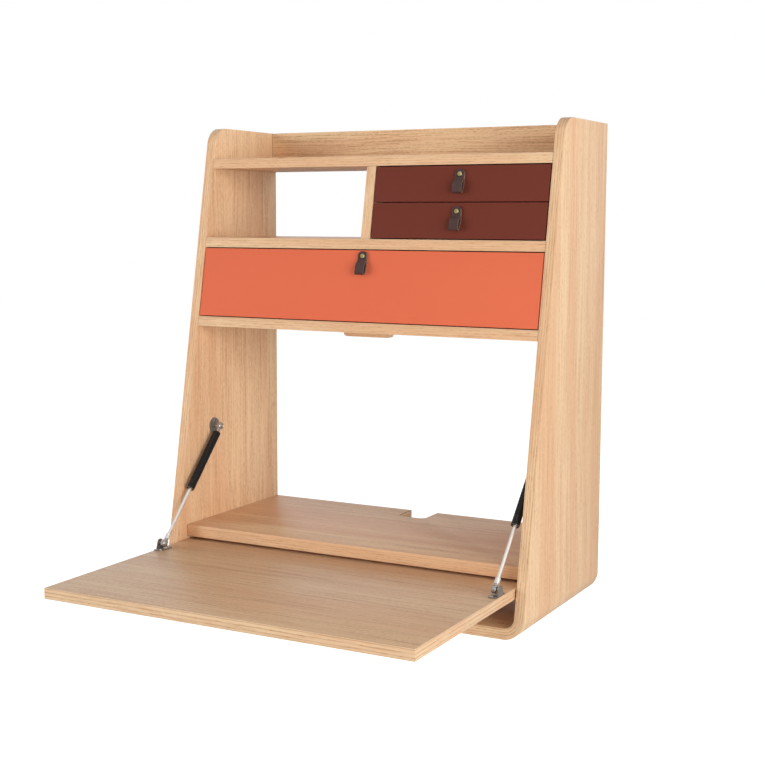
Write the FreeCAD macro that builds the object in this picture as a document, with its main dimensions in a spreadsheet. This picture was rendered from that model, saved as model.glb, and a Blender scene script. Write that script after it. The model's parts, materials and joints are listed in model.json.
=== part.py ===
import FreeCAD
import Part
import Sketcher
import os

# Fold down wall desk, in millimetres.
# X runs to the right, Y towards the wall, Z up. While the pieces are drawn, Z is counted from the
# underside of the bent shell and Y from the wall. Each finished piece is then lowered, so that the
# origin is the middle of the four wall screws, on the wall plane.

SIZES = {
    # Bent shell: both sides and the floor in one U, with a front edge that leans back.
    "width": 720,
    "height": 856,
    "depth_low": 368,
    "depth_high": 208,
    "board": 18,
    "bend_radius": 35,
    "corner_radius": 38,
    # Shelves and rails between the sides, counted down from the top.
    "rail_height": 59,
    "rail_thickness": 12,
    "upper_bay": 129,
    "lower_bay": 129,
    "work_shelf_thickness": 22,
    "work_shelf_depth": 320,
    "notch_width": 56,
    "notch_depth": 60,
    "notch_radius": 12,
    "block_width": 96,
    "block_depth": 14,
    "block_thickness": 10,
    "block_setback": 38,
    "block_radius": 7,
    "bay_back_thickness": 5,
    # Hanging rail and its wall screws.
    "hanging_rail_thickness": 18,
    "wall_bore": 7,
    "wall_screws_apart": 500,
    "wall_screws_rise": 70,
    # Dowels.
    "dowel_radius": 3,
    "dowel_in_side": 12,
    "dowel_in_board": 18,
    "dowel_inset": 40,
    "rail_dowel_inset": 15,
    "dowel_end_room": 0.5,
    "fixed_fit": 0.03,
    "running_fit": 0.05,
    # Leaf that folds down, and its pivots.
    "leaf_thickness": 19,
    "leaf_height": 66,
    "leaf_side_gap": 2.5,
    "leaf_tail": 45,
    "leaf_clearance": 5,
    "finger_gap": 40,
    "pin_radius": 4,
    "pin_in_side": 12,
    "bush_radius": 6,
    "bush_length": 20,
    "bush_flange_radius": 8,
    "bush_flange": 1.5,
    "bush_end_room": 1,
    # Struts, from the ball on the leaf to the ball on the side.
    "strut_inset": 14.5,
    "strut_head_depth": 228.5,
    "strut_head_height": 289,
    "strut_foot_reach": 65.5,
    "strut_foot_rise": 11,
    "ball_radius": 4,
    "socket_radius": 7.2,
    "socket_inboard": 5,
    "socket_outboard": 4,
    "socket_mouth_radius": 3.7,
    "socket_neck_radius": 3.6,
    "socket_neck_length": 9,
    "stud_radius": 2.4,
    "stud_flange_radius": 4.5,
    "stud_flange": 2,
    "stud_plate_gap": 0.3,
    "nut_radius": 4.5,
    "rod_end_length": 20,
    "rod_radius": 3,
    "piston_length": 6,
    "piston_start": 3,
    "collar_length": 20,
    "strut_spare": 8.5,
    "tube_radius": 7.5,
    "tube_bore_radius": 6,
    "tube_end": 3,
    "tube_head_gap": 15.5,
    "plate_radius": 15,
    "plate_thickness": 2.5,
    "plate_screw_rise": 9.5,
    # Brackets on the leaf.
    "bracket_thickness": 2,
    "bracket_length": 36,
    "bracket_width": 17,
    "bracket_corner_radius": 6,
    "ear_offset": 9,
    "ear_base_length": 22,
    "ear_top_length": 11,
    "ear_top_rise": 7.5,
    "ear_radius": 5,
    "bracket_screw_reach": 12.5,
    # Wood screws of the strut fittings.
    "screw_radius": 1.75,
    "screw_depth": 12,
    "screw_head_radius": 3.5,
    "screw_head_height": 1.7,
    "screw_head_sunk": 1.4,
    "screw_sink_depth": 1.6,
    # Drawer fronts and boxes.
    "front_gap": 1.5,
    "front_thickness": 16,
    "drawer_rear_gap": 10,
    "wide_side_gap": 13,
    "wide_side_thickness": 12,
    "wide_box_rise": 4.5,
    "wide_box_height": 100,
    "wide_bottom": 5,
    "small_side_thickness": 10,
    "small_box_rise": 2,
    "small_box_height": 52,
    "small_bottom": 4,
    "small_rear": 20,
    # Metal runners of the wide drawer.
    "channel_height": 35,
    "channel_wall": 1.5,
    "channel_depth": 9,
    "channel_gap": 0.3,
    "channel_rise": 50,
    "channel_front_room": 6,
    # Wooden runners of the small drawers.
    "runner_height": 8,
    "runner_depth": 5.5,
    "runner_gap": 0.3,
    "runner_end_gap": 0.6,
    "runner_rise": 26,
    "runner_front_room": 24,
    # Leather pulls and their brass screws.
    "pull_width": 16,
    "pull_leather": 2.2,
    "pull_above": 8,
    "pull_below": 34,
    "pull_bow": 12.5,
    "pull_arch_radius": 7.5,
    "pull_screw_radius": 2,
    "pull_screw_depth": 12,
    "pull_head_radius": 4.25,
    "pull_head_height": 1.8,
    "wide_pull_drop": 11,
    "small_pull_drop": 15.5,
}

# Places worked out from the sizes.
PLACES = {
    "lean": "(Size.depth_low - Size.depth_high) / Size.height",
    "stretch": "sqrt(1 + lean ^ 2)",
    "lean_angle": "atan(lean)",
    "inner_half": "Size.width / 2 - Size.board",
    "top_shelf_top": "Size.height - Size.rail_height",
    "top_shelf_bottom": "top_shelf_top - Size.board",
    "middle_shelf_top": "top_shelf_bottom - Size.upper_bay",
    "middle_shelf_bottom": "middle_shelf_top - Size.board",
    "drawer_shelf_top": "middle_shelf_bottom - Size.lower_bay",
    "drawer_shelf_bottom": "drawer_shelf_top - Size.board",
    "wall_screw_height": "(drawer_shelf_top + middle_shelf_bottom) / 2",
    "leaf_top": "Size.leaf_height + Size.leaf_thickness",
    "leaf_half": "inner_half - Size.leaf_side_gap",
    "work_shelf_bottom": "leaf_top + Size.leaf_clearance",
    "work_shelf_top": "work_shelf_bottom + Size.work_shelf_thickness",
    "pivot_height": "Size.leaf_height + Size.leaf_thickness / 2",
    "pivot_y": "lean * pivot_height - Size.depth_low + Size.leaf_thickness / 2 * stretch",
    "closed_top": "drawer_shelf_bottom - Size.finger_gap",
    "leaf_reach": "(closed_top - pivot_height) * stretch - Size.leaf_thickness / 2 * lean",
    "block_front": "lean * drawer_shelf_bottom - Size.depth_low + Size.block_setback",
    # The strut is drawn upright, from the lower ball at zero to the upper ball at its open length.
    "strut_x": "inner_half - Size.strut_inset",
    "foot_y": "pivot_y - Size.strut_foot_reach",
    "foot_height": "leaf_top + Size.strut_foot_rise",
    "foot_rise": "foot_height - pivot_height",
    "strut_run": "-Size.strut_head_depth - foot_y",
    "strut_climb": "Size.strut_head_height - foot_height",
    "strut_angle": "atan(strut_run / strut_climb)",
    "strut_open": "sqrt(strut_run ^ 2 + strut_climb ^ 2)",
    "closed_foot_y": "pivot_y + (Size.strut_foot_reach * lean + foot_rise) / stretch",
    "closed_foot_height": "pivot_height + (Size.strut_foot_reach - foot_rise * lean) / stretch",
    "closed_run": "-Size.strut_head_depth - closed_foot_y",
    "closed_climb": "Size.strut_head_height - closed_foot_height",
    "strut_closed": "sqrt(closed_run ^ 2 + closed_climb ^ 2)",
    "stroke": "strut_open - strut_closed",
    "collar_low": "stroke + Size.rod_end_length + Size.strut_spare",
    "collar_high": "collar_low + Size.collar_length",
    "tube_high": "strut_open - Size.tube_head_gap",
    "piston_low": "collar_high + Size.piston_start",
    # Drawer fronts.
    "small_left": "Size.board / 2",
    "small_front_height": "(Size.upper_bay - 3 * Size.front_gap) / 2",
    "lower_front_bottom": "middle_shelf_top + Size.front_gap",
    "upper_front_bottom": "lower_front_bottom + small_front_height + Size.front_gap",
    "wide_front_bottom": "drawer_shelf_top + Size.front_gap",
    "wide_rear": "Size.hanging_rail_thickness + Size.drawer_rear_gap",
}

doc = FreeCAD.newDocument("wall_desk")
finished = []


def fill_sheet(name, cells):
    sheet = doc.addObject("Spreadsheet::Sheet", name)
    for row, (alias, content) in enumerate(cells.items(), start=1):
        sheet.set(f"A{row}", alias)
        sheet.set(f"B{row}", content)
        sheet.setAlias(f"B{row}", alias)
    doc.recompute()
    return sheet


sizes = fill_sheet("Size", {alias: str(number) for alias, number in SIZES.items()})
places = fill_sheet("Place", {alias: "=" + formula for alias, formula in PLACES.items()})


def value(expression):
    result = places.evalExpression(str(expression))
    return float(getattr(result, "Value", result))


def bind(piece, **expressions):
    for name, expression in expressions.items():
        piece.setExpression(name.replace("__", "."), str(expression))


def front_at(height):
    """Y of the leaning front plane at a height."""
    return f"(Place.lean * ({height}) - Size.depth_low)"


# Drawing a piece.

def add_outline(body, name, plane, outline, offset):
    """A closed sketch on one of the body's own planes, each corner bound to its two expressions."""
    sketch = body.newObject("Sketcher::SketchObject", name)
    support = [feature for feature in body.Origin.OriginFeatures if feature.Role == plane][0]
    sketch.AttachmentSupport = [(support, "")]
    sketch.MapMode = "FlatFace"
    bind(sketch, AttachmentOffset__Base__z=offset)
    corners = [FreeCAD.Vector(value(across), value(up), 0) for across, up in outline]
    count = len(corners)
    for index, corner in enumerate(corners):
        sketch.addGeometry(Part.LineSegment(corner, corners[(index + 1) % count]))
    for index in range(count):
        sketch.addConstraint(Sketcher.Constraint("Coincident", index, 2, (index + 1) % count, 1))
    for index, (across, up) in enumerate(outline):
        for kind, axis, expression in (("DistanceX", "across", across), ("DistanceY", "up", up)):
            constraint = Sketcher.Constraint(kind, -1, 1, index, 1, value(expression))
            number = sketch.addConstraint(constraint)
            sketch.renameConstraint(number, f"{axis}_{index}")
            sketch.setExpression(f"Constraints.{axis}_{index}", str(expression))
    return sketch


def slab(name, plane, outline, low, high):
    """A flat piece: an outline on a plane, made solid from low to high along the plane's normal."""
    body = doc.addObject("PartDesign::Body", name)
    sketch = add_outline(body, name + "_outline", plane, outline, low)
    pad = body.newObject("PartDesign::Pad", name + "_pad")
    pad.Profile = sketch
    bind(pad, Length=f"({high}) - ({low})")
    doc.recompute()
    return body


def trim_through(body, name, plane, outline):
    """Cuts an outline right through the body, both ways from the plane."""
    before = body.Shape.Volume
    sketch = add_outline(body, name, plane, outline, 0)
    pocket = body.newObject("PartDesign::Pocket", name + "_pocket")
    pocket.Profile = sketch
    pocket.Type = "ThroughAll"
    pocket.SideType = "Symmetric"
    doc.recompute()
    if body.Shape.Volume > 0.999 * before:
        raise RuntimeError(name + " cuts nothing")


def round_edges(body, name, radius, points):
    """Rounds the edges of the body that pass through the given points."""
    vertices = [Part.Vertex(*(value(part) for part in point)) for point in points]
    edges = []
    for number, edge in enumerate(body.Shape.Edges, start=1):
        if any(edge.distToShape(vertex)[0] < 0.001 for vertex in vertices):
            edges.append(f"Edge{number}")
    if len(edges) != len(points):
        raise RuntimeError(f"{name} finds {len(edges)} edges for {len(points)} points")
    base = body.Tip
    fillet = body.newObject("PartDesign::Fillet", name)
    fillet.Base = (base, edges)
    bind(fillet, Radius=radius)
    doc.recompute()


def place_at(piece, start):
    x, y, z = start
    bind(piece, Placement__Base__x=x, Placement__Base__y=y, Placement__Base__z=z)


def block(name, start, lengths):
    piece = doc.addObject("Part::Box", name)
    bind(piece, Length=lengths[0], Width=lengths[1], Height=lengths[2])
    place_at(piece, start)
    return piece


TURNS = {
    "X": FreeCAD.Rotation(FreeCAD.Vector(0, 1, 0), 90),
    "-X": FreeCAD.Rotation(FreeCAD.Vector(0, 1, 0), -90),
    "Y": FreeCAD.Rotation(FreeCAD.Vector(1, 0, 0), -90),
    "-Y": FreeCAD.Rotation(FreeCAD.Vector(1, 0, 0), 90),
    "Z": FreeCAD.Rotation(),
    "-Z": FreeCAD.Rotation(FreeCAD.Vector(1, 0, 0), 180),
}


def bar(name, direction, start, length, radius):
    """A round bar from a start point along an axis."""
    piece = doc.addObject("Part::Cylinder", name)
    piece.Placement = FreeCAD.Placement(FreeCAD.Vector(), TURNS[direction])
    bind(piece, Radius=radius, Height=length)
    place_at(piece, start)
    return piece


def ball(name, centre, radius):
    """A ball with its poles on the X axis, so that a bar along X meets it in a clean circle."""
    piece = doc.addObject("Part::Sphere", name)
    piece.Placement = FreeCAD.Placement(FreeCAD.Vector(), TURNS["X"])
    bind(piece, Radius=radius)
    place_at(piece, centre)
    return piece


def group(name, pieces):
    piece = doc.addObject("Part::Compound", name)
    piece.Links = pieces
    return piece


def fuse(name, pieces):
    piece = doc.addObject("Part::MultiFuse", name)
    piece.Shapes = pieces
    piece.Refine = True
    return piece


def cut(name, base, tools):
    piece = doc.addObject("Part::Cut", name)
    piece.Base = base
    piece.Tool = tools[0] if len(tools) == 1 else group(name + "_cutters", tools)
    return piece


# Putting a finished piece in its place.

def finish(piece, label):
    piece.Label = label
    bind(piece, Placement__Base__z="-Place.wall_screw_height")
    finished.append(piece)


def finish_block(piece, label, low):
    """Finishes a plain block, whose own height is part of its place."""
    piece.Label = label
    bind(piece, Placement__Base__z=f"{low} - Place.wall_screw_height")
    finished.append(piece)


def finish_on_strut(piece, label, sign):
    """Lays a piece that was drawn upright along the strut of one side."""
    piece.Label = label
    piece.Placement = FreeCAD.Placement(
        FreeCAD.Vector(), FreeCAD.Rotation(FreeCAD.Vector(-1, 0, 0), value("Place.strut_angle"))
    )
    bind(piece, Placement__Rotation__Angle="Place.strut_angle")
    place_at(
        piece,
        (f"{sign} * Place.strut_x", "Place.foot_y", "Place.foot_height - Place.wall_screw_height"),
    )
    finished.append(piece)


def lean_against_front(piece, across, height, drop):
    """Leans a piece that was drawn upright against the front plane at a point."""
    piece.Placement = FreeCAD.Placement(
        FreeCAD.Vector(), FreeCAD.Rotation(FreeCAD.Vector(-1, 0, 0), value("Place.lean_angle"))
    )
    bind(piece, Placement__Rotation__Angle="Place.lean_angle")
    place_at(piece, (across, front_at(height), f"({height}) - {drop}"))


# Dowels, shared by the boards that they join.

def end_dowel(name, sign, y, z, growth, room):
    """A dowel across the joint between a board's end and the side."""
    reach = f"Place.inner_half - Size.dowel_in_board - {room}"
    length = f"Size.dowel_in_board + Size.dowel_in_side + 2 * {room}"
    direction = "X" if sign > 0 else "-X"
    return bar(name, direction, (f"{sign} * ({reach})", y, z), length, f"Size.dowel_radius + {growth}")


def upright_dowel(name, sign, y, z, growth, room):
    """A dowel across the joint between an end of the divider and a shelf."""
    start = f"({z}) - {sign} * (Size.dowel_in_board + {room})"
    length = f"Size.dowel_in_board + Size.dowel_in_side + 2 * {room}"
    direction = "Z" if sign > 0 else "-Z"
    return bar(name, direction, (0, y, start), length, f"Size.dowel_radius + {growth}")


def shelf_dowel_spots(middle):
    front = f"{front_at(middle)} + Size.dowel_inset"
    return [("-Size.dowel_inset", middle), (front, middle)]


def rail_dowel_spots(thickness, low, high):
    y = f"-{thickness} / 2"
    return [(y, f"{low} + Size.rail_dowel_inset"), (y, f"{high} - Size.rail_dowel_inset")]


def board_middle(low):
    return f"({low} + Size.board / 2)"


END_JOINTS = {
    "top_shelf": shelf_dowel_spots(board_middle("Place.top_shelf_bottom")),
    "middle_shelf": shelf_dowel_spots(board_middle("Place.middle_shelf_bottom")),
    "drawer_shelf": shelf_dowel_spots(board_middle("Place.drawer_shelf_bottom")),
    "work_shelf": [
        ("-Size.dowel_inset", "Place.work_shelf_bottom + Size.work_shelf_thickness / 2"),
        (
            "Size.dowel_inset - Size.work_shelf_depth",
            "Place.work_shelf_bottom + Size.work_shelf_thickness / 2",
        ),
    ],
    "back_rail": rail_dowel_spots("Size.rail_thickness", "Place.top_shelf_top", "Size.height"),
    "hanging_rail": rail_dowel_spots(
        "Size.hanging_rail_thickness", "Place.drawer_shelf_top", "Place.middle_shelf_bottom"
    ),
}

DIVIDER_JOINTS = {
    "top_shelf": (1, "Place.top_shelf_bottom"),
    "middle_shelf": (-1, "Place.middle_shelf_top"),
}


def divider_spots(face):
    return ["-Size.dowel_inset", f"{front_at(face)} + Size.dowel_inset"]


def dowel_holes(board):
    """Holes for all the dowels that enter a board."""
    holes = []
    for index, (y, z) in enumerate(END_JOINTS.get(board, [])):
        for sign in (-1, 1):
            name = f"{board}_hole_{index}_{sign + 1}"
            holes.append(end_dowel(name, sign, y, z, "Size.fixed_fit", "Size.dowel_end_room"))
    if board in DIVIDER_JOINTS:
        sign, face = DIVIDER_JOINTS[board]
        for index, y in enumerate(divider_spots(face)):
            name = f"{board}_upright_hole_{index}"
            holes.append(upright_dowel(name, sign, y, face, "Size.fixed_fit", "Size.dowel_end_room"))
    return holes


def make_dowels():
    dowels = []
    for board, spots in END_JOINTS.items():
        for index, (y, z) in enumerate(spots):
            for sign in (-1, 1):
                dowels.append(end_dowel(f"{board}_dowel_{index}_{sign + 1}", sign, y, z, 0, 0))
    for board, (sign, face) in DIVIDER_JOINTS.items():
        for index, y in enumerate(divider_spots(face)):
            dowels.append(upright_dowel(f"{board}_upright_{index}", sign, y, face, 0, 0))
    finish(group("dowels", dowels), "dowels")


# Carcass.

def make_bent_shell(bores):
    half = "Size.width / 2"
    inner = "Place.inner_half"
    shell = slab(
        "shell",
        "XZ_Plane",
        [
            (f"-{half}", "Size.height"),
            (f"-{half}", 0),
            (half, 0),
            (half, "Size.height"),
            (inner, "Size.height"),
            (inner, "Size.board"),
            (f"-{inner}", "Size.board"),
            (f"-{inner}", "Size.height"),
        ],
        0,
        "Size.depth_low",
    )
    middle = "-Size.depth_low / 2"
    outer_corners = [(f"{sign} * {half}", middle, 0) for sign in (-1, 1)]
    inner_corners = [(f"{sign} * {inner}", middle, "Size.board") for sign in (-1, 1)]
    round_edges(shell, "outer_bends", "Size.bend_radius", outer_corners)
    round_edges(shell, "inner_bends", "Size.bend_radius - Size.board", inner_corners)
    trim_through(
        shell,
        "lean",
        "YZ_Plane",
        [
            ("-Size.depth_low", 0),
            ("-Size.depth_high", "Size.height"),
            ("-Size.depth_high", "Size.height + Size.board"),
            ("-Size.depth_low - Size.board", "Size.height + Size.board"),
            ("-Size.depth_low - Size.board", 0),
        ],
    )
    side_middle = f"{half} - Size.board / 2"
    corners = [(f"{sign} * ({side_middle})", "-Size.depth_high", "Size.height") for sign in (-1, 1)]
    round_edges(shell, "top_corners", "Size.corner_radius", corners)
    finish(cut("bent_shell", shell, bores), "bent_shell")


def leaning_shelf(name, low):
    """A shelf between the sides, with its front edge flush with the leaning front."""
    high = f"{low} + Size.board"
    outline = [(0, low), (front_at(low), low), (front_at(high), high), (0, high)]
    shelf = slab(name + "_board", "YZ_Plane", outline, "-Place.inner_half", "Place.inner_half")
    finish(cut(name, shelf, dowel_holes(name)), name)


def make_work_shelf():
    notch = "Size.notch_width / 2"
    shelf = slab(
        "work_shelf_board",
        "XY_Plane",
        [
            ("-Place.inner_half", "-Size.work_shelf_depth"),
            ("Place.inner_half", "-Size.work_shelf_depth"),
            ("Place.inner_half", 0),
            (notch, 0),
            (notch, "-Size.notch_depth"),
            (f"-{notch}", "-Size.notch_depth"),
            (f"-{notch}", 0),
            ("-Place.inner_half", 0),
        ],
        "Place.work_shelf_bottom",
        "Place.work_shelf_top",
    )
    height = "Place.work_shelf_bottom + Size.work_shelf_thickness / 2"
    corners = [(f"{sign} * {notch}", "-Size.notch_depth", height) for sign in (-1, 1)]
    round_edges(shelf, "notch_corners", "Size.notch_radius", corners)
    finish(cut("work_shelf", shelf, dowel_holes("work_shelf")), "work_shelf")


def make_back_rail():
    rail = block(
        "back_rail_board",
        ("-Place.inner_half", "-Size.rail_thickness", "Place.top_shelf_top"),
        ("2 * Place.inner_half", "Size.rail_thickness", "Size.rail_height"),
    )
    finish(cut("back_rail", rail, dowel_holes("back_rail")), "back_rail")


def make_hanging_rail():
    """Rail behind the wide drawer, with the four bores for the wall screws."""
    rail = block(
        "hanging_rail_board",
        ("-Place.inner_half", "-Size.hanging_rail_thickness", "Place.drawer_shelf_top"),
        ("2 * Place.inner_half", "Size.hanging_rail_thickness", "Size.lower_bay"),
    )
    bores = []
    for across in (-1, 1):
        for up in (-1, 1):
            start = (
                f"{across} * Size.wall_screws_apart / 2",
                0,
                f"Place.wall_screw_height + {up} * Size.wall_screws_rise / 2",
            )
            name = f"wall_bore_{across + 1}_{up + 1}"
            bores.append(bar(name, "-Y", start, "Size.hanging_rail_thickness", "Size.wall_bore / 2"))
    finish(cut("hanging_rail", rail, bores + dowel_holes("hanging_rail")), "hanging_rail")


def make_divider():
    low = "Place.middle_shelf_top"
    high = "Place.top_shelf_bottom"
    outline = [(0, low), (front_at(low), low), (front_at(high), high), (0, high)]
    board = slab("divider_board", "YZ_Plane", outline, "-Size.board / 2", "Size.board / 2")
    holes = []
    for shelf, (sign, face) in DIVIDER_JOINTS.items():
        for index, y in enumerate(divider_spots(face)):
            name = f"divider_{shelf}_hole_{index}"
            holes.append(upright_dowel(name, sign, y, face, "Size.fixed_fit", "Size.dowel_end_room"))
    finish(cut("divider", board, holes), "divider")


def make_bay_back():
    """Thin panel that closes the bay of the small drawers at the wall."""
    panel = block(
        "bay_back",
        ("Size.board / 2", "-Size.bay_back_thickness", "Place.middle_shelf_top"),
        ("Place.inner_half - Size.board / 2", "Size.bay_back_thickness", "Size.upper_bay"),
    )
    finish_block(panel, "drawer_bay_back", "Place.middle_shelf_top")


def make_under_shelf_block():
    """Block glued under the drawer shelf, with its two lower corners rounded."""
    half = "Size.block_width / 2"
    low = "Place.drawer_shelf_bottom - Size.block_thickness"
    high = "Place.drawer_shelf_bottom"
    piece = slab(
        "under_shelf_block",
        "XZ_Plane",
        [(f"-{half}", low), (half, low), (half, high), (f"-{half}", high)],
        "-Place.block_front - Size.block_depth",
        "-Place.block_front",
    )
    middle = "Place.block_front + Size.block_depth / 2"
    corners = [(f"{sign} * {half}", middle, low) for sign in (-1, 1)]
    round_edges(piece, "block_corners", "Size.block_radius", corners)
    finish(piece, "under_shelf_block")


# Leaf and its pivots.

def pivot_bar(name, sign, start, end, radius):
    """A bar on the pivot line of one side, from one distance off the middle plane to another."""
    direction = "X" if sign > 0 else "-X"
    place = (f"{sign} * ({start})", "Place.pivot_y", "Place.pivot_height")
    return bar(name, direction, place, f"({end}) - ({start})", radius)


PIN_INNER_END = "Place.leaf_half - Size.bush_length + Size.bush_end_room"
PIN_OUTER_END = "Place.inner_half + Size.pin_in_side"


def pin_bores():
    """Blind bores in the sides for the pivot pins."""
    end = PIN_OUTER_END + " + Size.dowel_end_room"
    radius = "Size.pin_radius + Size.fixed_fit"
    return [pivot_bar(f"pin_bore_{sign + 1}", sign, "Place.inner_half", end, radius) for sign in (-1, 1)]


def make_pivot_pins():
    pins = [
        pivot_bar(f"pin_{sign + 1}", sign, PIN_INNER_END, PIN_OUTER_END, "Size.pin_radius")
        for sign in (-1, 1)
    ]
    finish(group("pivot_pins", pins), "pivot_pins")


def make_pivot_bushes():
    """Flanged bushes pressed into the ends of the leaf."""
    inner_end = "Place.leaf_half - Size.bush_length"
    outer_end = "Place.leaf_half + Size.bush_flange"
    bushes = []
    for sign in (-1, 1):
        barrel = pivot_bar(f"barrel_{sign + 1}", sign, inner_end, outer_end, "Size.bush_radius")
        flange = pivot_bar(
            f"flange_{sign + 1}", sign, "Place.leaf_half", outer_end, "Size.bush_flange_radius"
        )
        bore = pivot_bar(
            f"bush_bore_{sign + 1}", sign, inner_end, outer_end, "Size.pin_radius + Size.running_fit"
        )
        solid = fuse(f"bush_solid_{sign + 1}", [barrel, flange])
        bushes.append(cut(f"bush_{sign + 1}", solid, [bore]))
    finish(group("pivot_bushes", bushes), "pivot_bushes")


def bracket_screw_spots():
    """X and Y of the screws of both brackets."""
    spots = []
    for sign in (-1, 1):
        for along in (-1, 1):
            y = f"Place.foot_y + {along} * Size.bracket_screw_reach"
            spots.append((f"{sign} * Place.strut_x", y))
    return spots


def make_leaf():
    front = "Place.pivot_y - Place.leaf_reach"
    rear = "Place.pivot_y + Size.leaf_tail"
    low = "Size.leaf_height"
    high = "Place.leaf_top"
    outline = [(rear, low), (front, low), (front, high), (rear, high)]
    board = slab("leaf_board", "YZ_Plane", outline, "-Place.leaf_half", "Place.leaf_half")
    bores = []
    for sign in (-1, 1):
        start = "Place.leaf_half - Size.bush_length - Size.bush_end_room"
        radius = "Size.bush_radius + Size.fixed_fit"
        bores.append(pivot_bar(f"leaf_bore_{sign + 1}", sign, start, "Place.leaf_half", radius))
    depth = "Size.screw_depth + Size.dowel_end_room"
    for index, (x, y) in enumerate(bracket_screw_spots()):
        name = f"leaf_screw_hole_{index}"
        bores.append(bar(name, "-Z", (x, y, high), depth, "Size.screw_radius + Size.fixed_fit"))
    finish(cut("leaf", board, bores), "leaf")


def make_bracket(side, sign):
    """Steel bracket on the leaf: a foot with rounded corners and a tapered ear on its outer side."""
    name = f"bracket_{side}"
    ear_inner = f"{sign} * (Place.strut_x + Size.ear_offset)"
    ear_outer = f"{sign} * (Place.strut_x + Size.ear_offset + Size.bracket_thickness)"
    inner = f"{ear_outer} - {sign} * Size.bracket_width"
    front = "Place.foot_y - Size.bracket_length / 2"
    rear = "Place.foot_y + Size.bracket_length / 2"
    foot = slab(
        name + "_foot",
        "XY_Plane",
        [(ear_outer, front), (ear_outer, rear), (inner, rear), (inner, front)],
        "Place.leaf_top",
        "Place.leaf_top + Size.bracket_thickness",
    )
    height = "Place.leaf_top + Size.bracket_thickness / 2"
    corners = [(inner, end, height) for end in (front, rear)]
    round_edges(foot, name + "_foot_corners", "Size.bracket_corner_radius", corners)
    base = "Size.ear_base_length / 2"
    top = "Size.ear_top_length / 2"
    top_height = "Place.foot_height + Size.ear_top_rise"
    low, high = (ear_inner, ear_outer) if sign > 0 else (ear_outer, ear_inner)
    ear = slab(
        name + "_ear",
        "YZ_Plane",
        [
            (f"Place.foot_y - {base}", "Place.leaf_top"),
            (f"Place.foot_y - {top}", top_height),
            (f"Place.foot_y + {top}", top_height),
            (f"Place.foot_y + {base}", "Place.leaf_top"),
        ],
        low,
        high,
    )
    ear_middle = f"({ear_inner} + {ear_outer}) / 2"
    corners = [(ear_middle, f"Place.foot_y + {end} * {top}", top_height) for end in (-1, 1)]
    round_edges(ear, name + "_ear_corners", "Size.ear_radius", corners)
    solid = fuse(name + "_solid", [foot, ear])
    holes = []
    for along in (-1, 1):
        y = f"Place.foot_y + {along} * Size.bracket_screw_reach"
        start = (f"{sign} * Place.strut_x", y, "Place.leaf_top")
        radius = "Size.screw_radius + Size.fixed_fit"
        holes.append(bar(f"{name}_hole_{along + 1}", "Z", start, "Size.bracket_thickness", radius))
    finish(cut(name, solid, holes), name)


def make_bracket_screws():
    top = "Place.leaf_top + Size.bracket_thickness"
    screws = []
    for index, (x, y) in enumerate(bracket_screw_spots()):
        name = f"bracket_screw_{index}"
        head = bar(name + "_head", "Z", (x, y, top), "Size.screw_head_height", "Size.screw_head_radius")
        length = "Size.screw_depth + Size.bracket_thickness"
        shank = bar(name + "_shank", "-Z", (x, y, top), length, "Size.screw_radius")
        screws.append(fuse(name, [head, shank]))
    finish(group("bracket_screws", screws), "bracket_screws")


def make_ball_stud(name, sign, length):
    """A ball on a stud that points outwards, with a flange at its outer end, drawn at the ball."""
    direction = "X" if sign > 0 else "-X"
    flange_start = f"{sign} * ({length} - Size.stud_flange)"
    return fuse(
        name,
        [
            ball(name + "_ball", (0, 0, 0), "Size.ball_radius"),
            bar(name + "_shank", direction, (0, 0, 0), length, "Size.stud_radius"),
            bar(
                name + "_flange",
                direction,
                (flange_start, 0, 0),
                "Size.stud_flange",
                "Size.stud_flange_radius",
            ),
        ],
    )


def make_lower_ball_stud(side, sign):
    name = f"lower_ball_stud_{side}"
    finish_on_strut(make_ball_stud(name, sign, "Size.ear_offset"), name, sign)


# Struts.

def make_socket(name, label, sign, centre, neck_direction, neck_length):
    """A ball socket, open to its outer side, with a neck along the strut."""
    direction = "X" if sign > 0 else "-X"
    inner = f"-{sign} * Size.socket_inboard"
    length = "Size.socket_inboard + Size.socket_outboard"
    cup = bar(name + "_cup", direction, (inner, 0, centre), length, "Size.socket_radius")
    neck = bar(name + "_neck", neck_direction, (0, 0, centre), neck_length, "Size.socket_neck_radius")
    seat = ball(name + "_seat", (0, 0, centre), "Size.ball_radius + Size.running_fit")
    mouth = bar(
        name + "_mouth", direction, (0, 0, centre), "Size.socket_outboard", "Size.socket_mouth_radius"
    )
    hollow = fuse(name + "_hollow", [seat, mouth])
    finish_on_strut(cut(name, fuse(name + "_solid", [cup, neck]), [hollow]), label, sign)


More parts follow.
